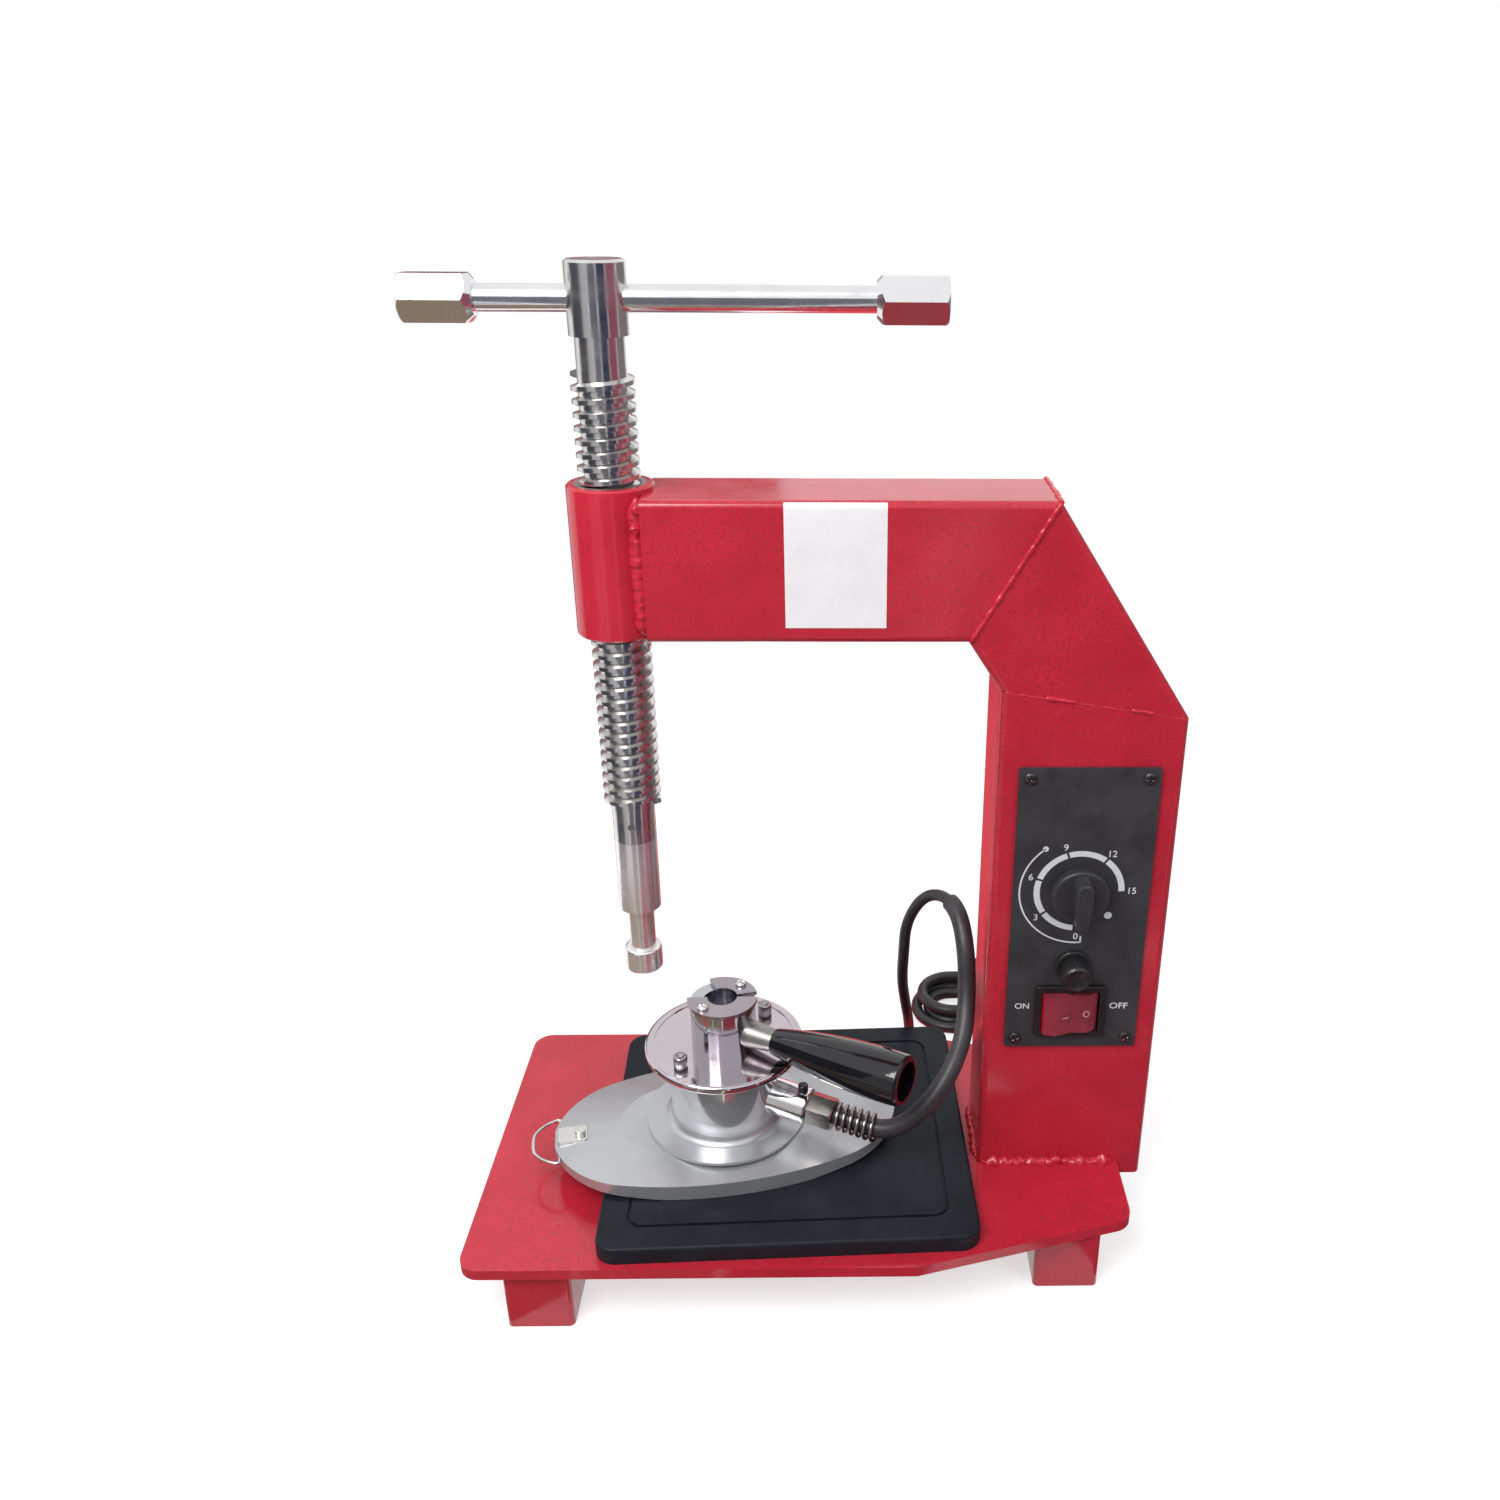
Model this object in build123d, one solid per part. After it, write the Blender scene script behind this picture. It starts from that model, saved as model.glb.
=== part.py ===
from build123d import *
import os
from math import atan2, ceil, cos, degrees, hypot, pi, radians, sin, sqrt, tan

# Tire vulcanizer: a C-shaped press frame on a base plate, a hand screw with a
# sliding bar, a heated lower plate, and a loose upper heater with a boat-shaped sole.
# Millimetres. +X to the right, +Y away from the front, +Z up.
# The origin is the middle of the frame's footprint, on the floor.

# Fits shared by all pieces
running_fit = 0.05
part_gap = 0.3
loose_fit = 0.25
overrun = 1.0

# Base plate and feet
base_width = 292.0
base_depth = 164.0
base_thick = 5.0
base_corner = 9.0
base_cut_run = 97.0
base_cut_depth = 26.5
column_overhang = 11.2
foot_side = 29.0
foot_height = 30.0
foot_wall = 2.5
foot_corner = 2.5
left_foot_inset = 18.0
left_foot_setback = 3.0
right_foot_inset = 14.0
right_foot_setback = 22.8

# Press frame of welded box section
column_width = 77.0
frame_depth = 43.0
frame_y = 3.6
tube_wall = 2.5
tube_corner = 3.0
arm_top = 348.0
arm_height = 56.0
knee_run = 57.4
knee_slope = 57.0
knee_height = 58.0
column_drop = 2.0

# Screw boss and nut
screw_from_left = 73.9
boss_radius = 17.0
boss_rise = 2.4
boss_drop = 1.6
boss_chamfer = 0.8
arm_end_gap = 22.2
nut_radius = 14.0

# Press screw
thread_radius = 12.0
thread_depth = 2.6
thread_pitch = 5.0
thread_crest = 1.7
thread_base = 3.9
thread_sink = 0.4
screw_top = 431.6
head_radius = 11.2
head_length = 26.6
head_chamfer = 1.0
neck_radius = 9.3
thread_top = 393.0
thread_bottom = 211.6
throat_radius = 9.1
nose_top = 197.0
nose_shoulder = 162.6
shank_radius = 5.75
collar_top = 142.0
collar_radius = 8.3
nose_bottom = 130.4
nose_round = 1.6
stem_radius = 5.0
stem_length = 26.0
stem_groove_depth = 1.2
stem_groove_width = 3.4
stem_groove_drop = 8.0
grub_radius = 1.5

# Sliding bar
bar_radius = 4.9
bar_height = 417.9
bar_left_reach = 44.2
bar_right_reach = 102.4
bar_end_across = 17.0
bar_end_length = 26.5
bar_thread_length = 20.0
bar_end_chamfer = 1.2
bar_end_neck = 3.0
bar_end_neck_radius = 6.6

# Lower heating plate
plate_width = 166.0
plate_depth = 151.0
plate_thick = 8.0
plate_corner = 9.0
plate_round = 1.8
plate_turn = 2.3
plate_from_left = 137.6
plate_y = -0.6
groove_inset = 12.5
groove_width = 1.5
groove_depth = 1.2
groove_corner = 7.0
plate_rim = 14.0
plate_skin = 4.2
mica_thick = 2.0
plate_bolt_radius = 2.5
plate_bolt_share = 0.25
plate_bolt_clearance = 0.3
plate_bolt_depth = 5.0
plate_bolt_head_radius = 4.4
plate_bolt_head_height = 3.0

# Upper heater: boat-shaped sole
heater_from_left = 109.0
heater_y = -4.5
boat_turn = 10.5
boat_half_length = 79.5
boat_half_width = 43.6
boat_shoulder_share = 0.655
boat_shoulder_width_share = 0.815
boat_tail_share = 0.89
boat_tail_width_share = 0.52
boat_tip_half_width = 5.5
boat_edge = 7.4
boat_crown = 3.8
boat_crown_share = 0.62
boat_flat_share = 0.4
boat_tip_rise = 3.6
tab_length = 13.0
tab_width = 10.5
tab_thick = 1.6
tab_from_tip = 1.5
tab_seat = 0.4
tab_screw_from_tip = 11.5
small_screw_radius = 1.25
small_head_radius = 2.6
small_head_height = 2.0
small_screw_length = 3.0
bail_wire_radius = 0.75
bail_pivot_from_tip = 2.2
bail_half_width = 14.6
bail_reach = 11.5
bail_pin_length = 9.0
bail_corner = 1.2
bail_play = 0.3
bail_shoulder_share = 0.7
bail_nose_share = 0.4
bail_height_share = 0.36

# Upper heater: body, lid and hub
body_flange_radius = 37.0
body_flange_thick = 1.4
body_flange_rise = 0.6
body_radius = 25.3
body_flare = 4.0
body_height = 37.7
body_wall = 2.8
collar_ring_radius = 30.5
collar_ring_height = 4.0
lid_radius = 36.0
lid_thick = 4.0
lid_roll = 1.6
lid_dish_radius = 32.0
lid_dish_depth = 0.5
lid_screw_circle = 26.3
lid_screw_angle = 48.0
lid_screw_head_radius = 3.1
lid_screw_head_height = 5.6
lid_screw_shank_radius = 1.9
lid_screw_length = 7.0
socket_radius = 1.5
socket_depth = 2.6
hub_radius = 14.7
hub_height = 20.8
hub_bore_radius = 9.0
hub_bore_depth = 19.0
keeper_radius = 15.8
keeper_hole_radius = 6.7
keeper_thick = 1.8
keeper_play = 0.12
keeper_pivot_circle = 12.1
front_keeper_pivot = -130.0
front_keeper_start = -178.0
front_keeper_end = 0.0
rear_keeper_pivot = 50.0
rear_keeper_start = 14.0
rear_keeper_end = 116.0
keeper_screw_radius = 1.3
keeper_screw_depth = 7.0
keeper_head_radius = 2.6
keeper_head_height = 2.2
element_radius = 20.0
element_thick = 6.0
pad_thick = 5.0
thermostat_radius = 7.5
thermostat_height = 9.0

# Handle
handle_turn = -29.0
handle_rise = 2.0
handle_height = 7.1
stem_root_radius = 6.3
stem_end_radius = 4.9
grip_start = 28.0
grip_end = 93.0
grip_start_radius = 5.9
grip_end_radius = 11.2
grip_swell_radius = 9.3
grip_swell_share = 0.31
grip_round = 1.6
grip_hollow_radius = 8.6
grip_hollow_depth = 18.0
rod_radius = 3.0
rod_end_share = 0.83
handle_nut_across = 8.0
handle_nut_thick = 4.0

# Heater's cable outlet
outlet_turn = -21.0
outlet_droop = 5.0
outlet_height = 18.2
outlet_radius = 8.4
outlet_end = 42.5
outlet_round = 1.5
gland_across = 13.4
gland_end = 54.5
clip_radius = 2.3
clip_height = 3.2
clip_setback = 3.4
clip_sink = 0.5
spring_end = 76.0
spring_radius = 5.6
spring_wire_radius = 0.85
spring_pitch = 3.3
spring_gap = 0.15

# Control panel
panel_width = 58.5
panel_height = 137.0
panel_top = 239.0
panel_thick = 1.5
panel_corner = 1.2
panel_screw_inset = 4.7
panel_screw_radius = 1.45
panel_head_radius = 2.7
panel_head_height = 1.4
control_shift = 1.1
dial_height = 181.7
knob_radius = 12.2
knob_skirt = 5.0
knob_depth = 15.0
knob_bar_width = 9.0
knob_bar_reach = 12.6
knob_bar_tip_width = 5.5
knob_gap = 1.2
shaft_radius = 3.0
shaft_inside = 14.0
bush_radius = 5.0
timer_width = 38.0
timer_height = 40.0
timer_depth = 24.0
fuse_height = 144.6
fuse_flange_radius = 8.0
fuse_flange_thick = 2.2
fuse_body_radius = 6.2
fuse_body_depth = 24.0
fuse_bore_radius = 4.6
fuse_cap_radius = 6.4
fuse_cap_length = 10.0
fuse_plug_radius = 4.5
fuse_plug_length = 5.0
fuse_slot_width = 1.4
fuse_slot_depth = 1.3
fuse_link_radius = 2.6
fuse_link_length = 16.0
switch_height = 121.5
bezel_width = 31.0
bezel_height = 26.0
bezel_thick = 2.0
bezel_corner = 1.5
switch_body_width = 28.0
switch_body_height = 22.4
switch_body_depth = 22.0
rocker_reach = 12.3
rocker_height = 19.6
rocker_gap = 0.35
rocker_bow = 1.6
rocker_ridge_share = 0.6
rocker_end_share = 0.985
rocker_lip = 0.9
rocker_tilt = 10.0
rocker_back = 4.0
rocker_pin_radius = 1.2
rocker_slot = 10.0
blade_width = 6.3
blade_thick = 0.8
blade_length = 8.0
blade_spacing = 9.0
terminal_width = 34.0
terminal_depth = 12.0
terminal_height = 16.0
terminal_level = 75.0

# Heater cord and its sleeve: points in the part's frame, chosen by hand
cord_radius = 2.75
sleeve_radius = 4.2
sleeve_bore = 2.9
sleeve_points = [
    (18.78, -28.06, 66.95), (28.5, -31.6, 65.7), (38.3, -33.5, 69.3), (49.0, -33.0, 80.2), (59.1, -26.1, 90.5),
    (66.8, -12.0, 101.9), (68.8, 1.5, 117.1), (68.0, 7.9, 136.5), (65.4, 21.4, 147.8), (58.6, 34.4, 149.2),
]
bare_points = [
    (50.0, 44.2, 141.9), (42.8, 51.6, 123.1), (42.1, 54.6, 103.6), (41.9, 63.1, 82.1), (44.5, 72.4, 61.7),
    (46.9, 83.1, 43.8), (48.2, 92.5, 27.0), (51.0, 101.5, 13.5), (60.5, 107.5, 5.2), (72.5, 109.5, 2.8),
    (84.0, 105.5, 5.2), (92.0, 97.5, 12.5), (96.0, 86.0, 23.5), (97.2, 73.0, 36.0), (97.2, 59.5, 47.5),
]
grommet_x = 96.4
grommet_z = 59.0
grommet_radius = 7.0
grommet_neck = 5.0
grommet_lip = 2.5
grommet_straight = 14.0

# Mains lead, hank and plug
mains_radius = 3.25
relief_x = 127.9
relief_z = 46.0
relief_length = 28.0
relief_root_radius = 6.5
relief_tip_radius = 4.6
relief_lip_radius = 8.0
relief_lip = 2.5
lead_points = [
    (127.9, 68.0, 46.0), (126.5, 86.0, 39.0), (122.0, 104.0, 27.0), (112.0, 120.0, 14.0),
    (100.0, 126.5, 6.5), (87.0, 130.0, 3.25),
]
hank_x = 120.9
hank_y = 151.0
hank_run = 88.0
hank_shorter = 30.0
hank_outer = 21.0
hank_space = 0.6
hank_folds = 3
fold_turn = 180.0
hank_layers = 4
tail_overlap = 10.0
tail_points = [
    (178.3, 172.0, 24.55), (190.0, 183.7, 21.0), (190.0, 200.3, 15.5), (178.3, 212.0, 11.4),
    (164.5, 213.0, 10.25), (150.5, 213.0, 10.25),
]
plug_length = 32.0
plug_width = 30.0
plug_height = 20.5
plug_waist = 14.0
plug_round = 3.0
pin_radius = 2.4
pin_length = 19.0
pin_spacing = 19.0
tie_width = 9.0
tie_thick = 1.2
tie_gap = 0.3

# Places worked out from the sizes above
overall_width = base_width + column_overhang
base_left = -overall_width / 2
base_right = base_left + base_width
column_right = overall_width / 2
column_left = column_right - column_width
column_x = (column_left + column_right) / 2
control_x = column_x - control_shift
front_y = frame_y - frame_depth / 2
back_y = frame_y + frame_depth / 2
base_top = foot_height + base_thick
arm_bottom = arm_top - arm_height
screw_x = base_left + screw_from_left
boss_top = arm_top + boss_rise
boss_bottom = arm_bottom - boss_drop
plate_x = base_left + plate_from_left
plate_top = base_top + plate_thick
heater_x = base_left + heater_from_left
boat_bottom = plate_top + part_gap
boat_rim = boat_bottom + boat_edge
body_bottom = boat_rim + boat_crown
body_top = body_bottom + body_height
lid_top = body_top + lid_thick
hub_top = lid_top + hub_height
keeper_bottom = hub_top + keeper_play
keeper_top = keeper_bottom + keeper_thick
handle_z = lid_top + handle_height
outlet_z = body_bottom + outlet_height
panel_bottom = panel_top - panel_height
panel_front = front_y - panel_thick
wall_inner = front_y + tube_wall
back_inner = back_y - tube_wall
knee_axis = (sin(radians(knee_slope)), cos(radians(knee_slope)))


def write(node, shape):
    """Write one node's solids to its STEP file."""
    solids = shape.solids()
    shape = solids[0] if len(solids) == 1 else Compound(children=list(solids))
    export_step(shape, f"parts/{node}.step")
    print(node, len(solids), round(sum(s.volume for s in solids), 1))


def upright(radius, bottom, top, x=0, y=0):
    """A vertical cylinder between two heights."""
    rod = Cylinder(radius, top - bottom, align=(Align.CENTER, Align.CENTER, Align.MIN))
    return Pos(x, y, bottom) * rod


def along(plane, radius, start, end):
    """A cylinder along a plane's normal, between two distances from its origin."""
    rod = Cylinder(radius, end - start, align=(Align.CENTER, Align.CENTER, Align.MIN))
    return plane * Pos(0, 0, start) * rod


def hexagon_bar(plane, across, start, end):
    """A hexagonal bar along a plane's normal, with two faces square to the plane's X."""
    outline = Rot(0, 0, 30) * RegularPolygon(across / 2, 6, major_radius=False)
    return plane * Pos(0, 0, start) * extrude(outline, end - start)


def turned(points, place):
    """A solid of revolution from (radius, height) points about a vertical axis."""
    outline = make_face(Polyline([(r, 0, z) for r, z in points], close=True))
    return place * revolve(outline, Axis.Z)


def facing(x, z, y):
    """A plane on the front of the column whose normal points at the viewer."""
    return Plane(origin=(x, y, z), x_dir=(1, 0, 0), z_dir=(0, -1, 0))


def tangent_radii(points):
    """Radii of the arcs at a route's corners: 0.45 of the shorter run over the half turn's tangent."""
    arc_share = 0.45
    radii = []
    for a, b, c in zip(points, points[1:], points[2:]):
        before, after = Vector(*b) - Vector(*a), Vector(*c) - Vector(*b)
        half_turn = radians(before.get_angle(after)) / 2
        radii.append(arc_share * min(before.length, after.length) / tan(half_turn))
    return radii


def cord_path(name, points, radii):
    """Straight runs joined by tangent arcs through the route's points."""
    path = FilletPolyline(*points, radius=radii)
    print(name, "radii", [round(r, 1) for r in radii], "length", round(path.length, 1))
    return path


def tube_on(path, radius, bore=0):
    """A round tube along a path, with a bore if one is given."""
    section = Circle(radius) - Circle(bore) if bore else Circle(radius)
    tube = sweep(path.location_at(0) * section, path)
    wanted = pi * (radius**2 - bore**2) * path.length
    print("tube volume over section by length", round(tube.volume / wanted, 4))
    return tube


# Base


def base_outline():
    half = base_depth / 2
    cut_x = base_right - base_cut_run
    cut_y = half - base_cut_depth
    outline = make_face(Polyline([
        (base_left, -half), (cut_x, -half), (base_right, -cut_y),
        (base_right, cut_y), (cut_x, half), (base_left, half),
    ], close=True))
    sharp = [v for v in outline.vertices() if abs(v.X - cut_x) > base_corner]
    return fillet(sharp, base_corner)


def plate_place(z=0):
    return Pos(plate_x, plate_y, z) * Rot(0, 0, plate_turn)


def plate_bolt_places():
    inset = plate_rim / 2
    for sx in (-1, 1):
        for sy in (-1, 1):
            yield plate_place() * Pos(sx * (plate_width / 2 - inset), sy * plate_bolt_share * plate_depth, 0)


def base_plate():
    plate = Pos(0, 0, foot_height) * extrude(base_outline(), base_thick)
    notch = Pos(column_x, frame_y, base_top) * Box(column_width, frame_depth, 2 * base_thick + overrun)
    plate -= notch
    for place in plate_bolt_places():
        plate -= place * upright(plate_bolt_radius + plate_bolt_clearance, 0, base_top + overrun)
    return plate


def foot(x, y):
    outer = RectangleRounded(foot_side, foot_side, foot_corner)
    hole_side = foot_side - 2 * foot_wall
    hollow = Pos(0, 0, foot_wall) * extrude(Rectangle(hole_side, hole_side), foot_height - foot_wall)
    return Pos(x, y, 0) * (extrude(outer, foot_height) - hollow)


def feet():
    left = base_left + left_foot_inset + foot_side / 2
    right = base_right - right_foot_inset - foot_side / 2
    left_y = base_depth / 2 - left_foot_setback - foot_side / 2
    right_y = base_depth / 2 - right_foot_setback - foot_side / 2
    places = [(left, -left_y), (left, left_y), (right, -right_y), (right, right_y)]
    return Compound(children=[foot(x, y).solid() for x, y in places])


# Frame


def box_tube(width, depth, length):
    """A hollow box section with rounded corners, up the Z axis."""
    outer = RectangleRounded(width, depth, tube_corner)
    inner = RectangleRounded(width - 2 * tube_wall, depth - 2 * tube_wall, tube_corner - tube_wall)
    return extrude(outer - inner, length)


def knee_points():
    """The four corners of the knee: outer and inner ends of its two seams."""
    outer = (column_right - knee_run) * knee_axis[0] + arm_top * knee_axis[1]
    inner = outer - knee_height
    return {
        "arm_outer": (column_right - knee_run, arm_top),
        "arm_inner": ((inner - arm_bottom * knee_axis[1]) / knee_axis[0], arm_bottom),
        "column_outer": (column_right, (outer - column_right * knee_axis[0]) / knee_axis[1]),
        "column_inner": (column_left, (inner - column_left * knee_axis[0]) / knee_axis[1]),
    }


def beyond(low, high, side):
    """A large block on one side of the seam through two points of the frame's side view."""
    dx, dz = high[0] - low[0], high[1] - low[1]
    seam = Plane(origin=(low[0], frame_y, low[1]), x_dir=(dx, 0, dz), z_dir=(-side * dz, 0, side * dx))
    size = base_width
    return seam * extrude(Rectangle(2 * size, 2 * size), size)


def column():
    c = knee_points()
    bottom = foot_height - column_drop
    tube = Pos(column_x, frame_y, bottom) * box_tube(column_width, frame_depth, arm_top - bottom)
    tube -= beyond(c["column_inner"], c["column_outer"], 1)
    front = front_y + tube_wall / 2
    cut = 2 * tube_wall + overrun
    tube -= along(facing(control_x, dial_height, front), bush_radius + loose_fit, -cut, cut)
    tube -= along(facing(control_x, fuse_height, front), fuse_body_radius + loose_fit, -cut, cut)
    window = (switch_body_width + 2 * loose_fit, cut, switch_body_height + 2 * loose_fit)
    tube -= Pos(control_x, front, switch_height) * Box(*window)
    for x, z in panel_screw_places():
        tube -= along(facing(x, z, front), panel_screw_radius, -cut, cut)
    rear = facing(grommet_x, grommet_z, back_y)
    tube -= along(rear, grommet_neck, -cut, cut)
    tube -= along(facing(relief_x, relief_z, back_y), relief_root_radius, -cut, cut)
    return tube


def knee():
    c = knee_points()
    outer, inner = c["arm_outer"], c["arm_inner"]
    reach = 2 * column_width
    start = Vector(outer[0], frame_y, outer[1]) - Vector(knee_axis[0], 0, knee_axis[1]) * (knee_height / 2)
    down = Vector(knee_axis[1], 0, -knee_axis[0])
    plane = Plane(origin=start - down * (reach / 2), x_dir=(knee_axis[0], 0, knee_axis[1]), z_dir=down)
    tube = plane * box_tube(knee_height, frame_depth, 2 * reach)
    tube -= beyond(inner, outer, 1)
    tube -= beyond(c["column_inner"], c["column_outer"], -1)
    return tube


def arm():
    c = knee_points()
    start = screw_x + arm_end_gap - boss_radius / 2
    plane = Plane(origin=(start, frame_y, arm_top - arm_height / 2), x_dir=(0, 0, 1), z_dir=(1, 0, 0))
    tube = plane * box_tube(arm_height, frame_depth, column_right - start)
    end_wall = plane * extrude(RectangleRounded(arm_height, frame_depth, tube_corner), boss_radius / 2)
    tube = tube + end_wall - beyond(c["arm_inner"], c["arm_outer"], -1)
    tube -= upright(boss_radius, boss_bottom - overrun, boss_top + overrun, screw_x, frame_y)
    return tube


def boss_tube():
    ring = upright(boss_radius, boss_bottom, boss_top, screw_x, frame_y)
    ring -= upright(nut_radius, boss_bottom - overrun, boss_top + overrun, screw_x, frame_y)
    rims = ring.edges().filter_by(GeomType.CIRCLE).sort_by(SortBy.RADIUS)[-2:]
    return chamfer(rims, boss_chamfer)


def screw_nut():
    nut = upright(nut_radius, boss_bottom, boss_top, screw_x, frame_y)
    return nut - upright(thread_radius + running_fit, boss_bottom - overrun, boss_top + overrun, screw_x, frame_y)


# Press screw


def spindle():
    core_radius = thread_radius - thread_depth
    points = [
        (0, nose_top), (throat_radius, nose_top), (throat_radius, thread_bottom),
        (core_radius, thread_bottom), (core_radius, thread_top), (neck_radius, thread_top),
        (neck_radius, screw_top - head_length), (head_radius, screw_top - head_length),
        (head_radius, screw_top - head_chamfer), (head_radius - head_chamfer, screw_top), (0, screw_top),
    ]
    body = turned(points, Pos(0, 0, 0))
    ridge_length = thread_top - thread_bottom - thread_base
    helix = Helix(thread_pitch, ridge_length, core_radius)
    root = core_radius - thread_sink
    section = Plane.XZ * make_face(Polyline([
        (root, -thread_base / 2), (thread_radius, -thread_crest / 2),
        (thread_radius, thread_crest / 2), (root, thread_base / 2),
    ], close=True))
    ridge = Pos(0, 0, thread_bottom + thread_base / 2) * sweep(section, helix, is_frenet=True)
    body += ridge
    body -= upright(stem_radius + running_fit, nose_top - overrun, nose_top + stem_length + part_gap)
    bar_hole = Plane(origin=(0, 0, bar_height), z_dir=(1, 0, 0))
    body -= along(bar_hole, bar_radius + running_fit, -head_radius - overrun, head_radius + overrun)
    body -= along(grub_plane(), grub_radius, -throat_radius - overrun, 0)
    return Pos(screw_x, frame_y, 0) * body


def grub_plane():
    return Plane(origin=(0, 0, nose_top + stem_groove_drop), z_dir=(0, 1, 0))


def nose_grub_screw():
    tip = stem_radius - stem_groove_depth + part_gap
    screw = along(grub_plane(), grub_radius, -throat_radius + part_gap, -tip)
    return Pos(screw_x, frame_y, 0) * screw


def press_nose():
    stem_top = nose_top + stem_length
    groove = nose_top + stem_groove_drop
    waist = stem_radius - stem_groove_depth
    low, high = groove - stem_groove_width / 2, groove + stem_groove_width / 2
    sleeve_top = nose_top - part_gap / 2
    points = [
        (0, nose_bottom), (collar_radius, nose_bottom), (collar_radius, collar_top),
        (shank_radius, collar_top), (shank_radius, nose_shoulder), (throat_radius, nose_shoulder),
        (throat_radius, sleeve_top), (stem_radius, sleeve_top), (stem_radius, low), (waist, low),
        (waist, high), (stem_radius, high), (stem_radius, stem_top), (0, stem_top),
    ]
    nose = turned(points, Pos(screw_x, frame_y, 0))
    rims = [e for e in nose.edges().filter_by(GeomType.CIRCLE) if abs(e.radius - collar_radius) < running_fit]
    return fillet(rims, nose_round)


def bar_plane():
    return Plane(origin=(screw_x, frame_y, bar_height), x_dir=(0, 1, 0), z_dir=(1, 0, 0))


def sliding_bar():
    return along(bar_plane(), bar_radius, -bar_left_reach - bar_thread_length, bar_right_reach + bar_thread_length)


def bar_end(side):
    """One hexagonal end nut, its inner face at the bar's reach on that side."""
    inner = bar_right_reach if side > 0 else bar_left_reach
    normal = (side, 0, 0)
    plane = Plane(origin=(screw_x, frame_y, bar_height), x_dir=(0, 0, 1), z_dir=normal)
    nut = hexagon_bar(plane, bar_end_across, inner, inner + bar_end_length)
    corner_radius = bar_end_across / sqrt(3)
    shape = turned([
        (0, inner), (bar_end_neck_radius, inner), (corner_radius, inner + bar_end_neck),
        (corner_radius, inner + bar_end_length - bar_end_chamfer),
        (corner_radius - bar_end_chamfer, inner + bar_end_length), (0, inner + bar_end_length),
    ], Pos(0, 0, 0))
    nut = nut.solid() & (plane * shape).solid()
    return nut - along(plane, bar_radius, inner - overrun, inner + bar_thread_length)


def bar_ends():
    return Compound(children=[bar_end(-1).solid(), bar_end(1).solid()])


# Lower heating plate


def lower_plate():
    plate = extrude(RectangleRounded(plate_width, plate_depth, plate_corner), plate_thick)
    plate = fillet(plate.edges().group_by(Axis.Z)[-1], plate_round)
    outer = (plate_width - 2 * groove_inset, plate_depth - 2 * groove_inset)
    inner = (outer[0] - 2 * groove_width, outer[1] - 2 * groove_width)
    ring = RectangleRounded(*outer, groove_corner) - RectangleRounded(*inner, groove_corner - groove_width)
    plate -= Pos(0, 0, plate_thick - groove_depth) * extrude(ring, groove_depth + overrun)
    recess = (plate_width - 2 * plate_rim, plate_depth - 2 * plate_rim, plate_thick - plate_skin)
    plate -= Pos(0, 0, recess[2] / 2) * Box(*recess)
    plate = plate_place(base_top) * plate
    for place in plate_bolt_places():
        plate -= place * upright(plate_bolt_radius, base_top - overrun, base_top + plate_bolt_depth)
    return plate


def recess_layer(bottom, top):
    """A sheet that fills the plate's recess with a little play all round."""
    width, depth = plate_width - 2 * plate_rim, plate_depth - 2 * plate_rim
    sheet = Box(width - 2 * part_gap, depth - 2 * part_gap, top - bottom)
    return plate_place((bottom + top) / 2) * sheet


def mica_heater():
    top = plate_top - plate_skin
    return recess_layer(top - mica_thick, top)


def insulation_board():
    return recess_layer(base_top, plate_top - plate_skin - mica_thick)


def plate_bolts():
    bolts = []
    for place in plate_bolt_places():
        shank = upright(plate_bolt_radius, foot_height, base_top + plate_bolt_depth)
        head = upright(plate_bolt_head_radius, foot_height - plate_bolt_head_height, foot_height)
        bolts.append((place * (shank + head)).solid())
    return Compound(children=bolts)


# Upper heater


def boat_place(z=0):
    return Pos(heater_x, heater_y, z) * Rot(0, 0, boat_turn)


def boat_outline(length_share=1, width_share=1):
    """The sole seen from above: long side arcs, tighter shoulder arcs and blunt tips."""
    half = boat_half_length * length_share
    wide = boat_half_width * width_share
    shoulder = (boat_shoulder_share * half, boat_shoulder_width_share * wide)
    tail = (boat_tail_share * half, boat_tail_width_share * wide)
    tip = boat_tip_half_width * width_share
    edges = []
    for side in (1, -1):
        edges += [
            ThreePointArc((-side * half, side * tip), (-side * tail[0], side * tail[1]),
                          (-side * shoulder[0], side * shoulder[1])),
            ThreePointArc((-side * shoulder[0], side * shoulder[1]), (0, side * wide),
                          (side * shoulder[0], side * shoulder[1])),
            ThreePointArc((side * shoulder[0], side * shoulder[1]), (side * tail[0], side * tail[1]),
                          (side * half, side * tip)),
            Line((side * half, side * tip), (side * half, -side * tip)),
        ]
    return make_face(edges)


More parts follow.
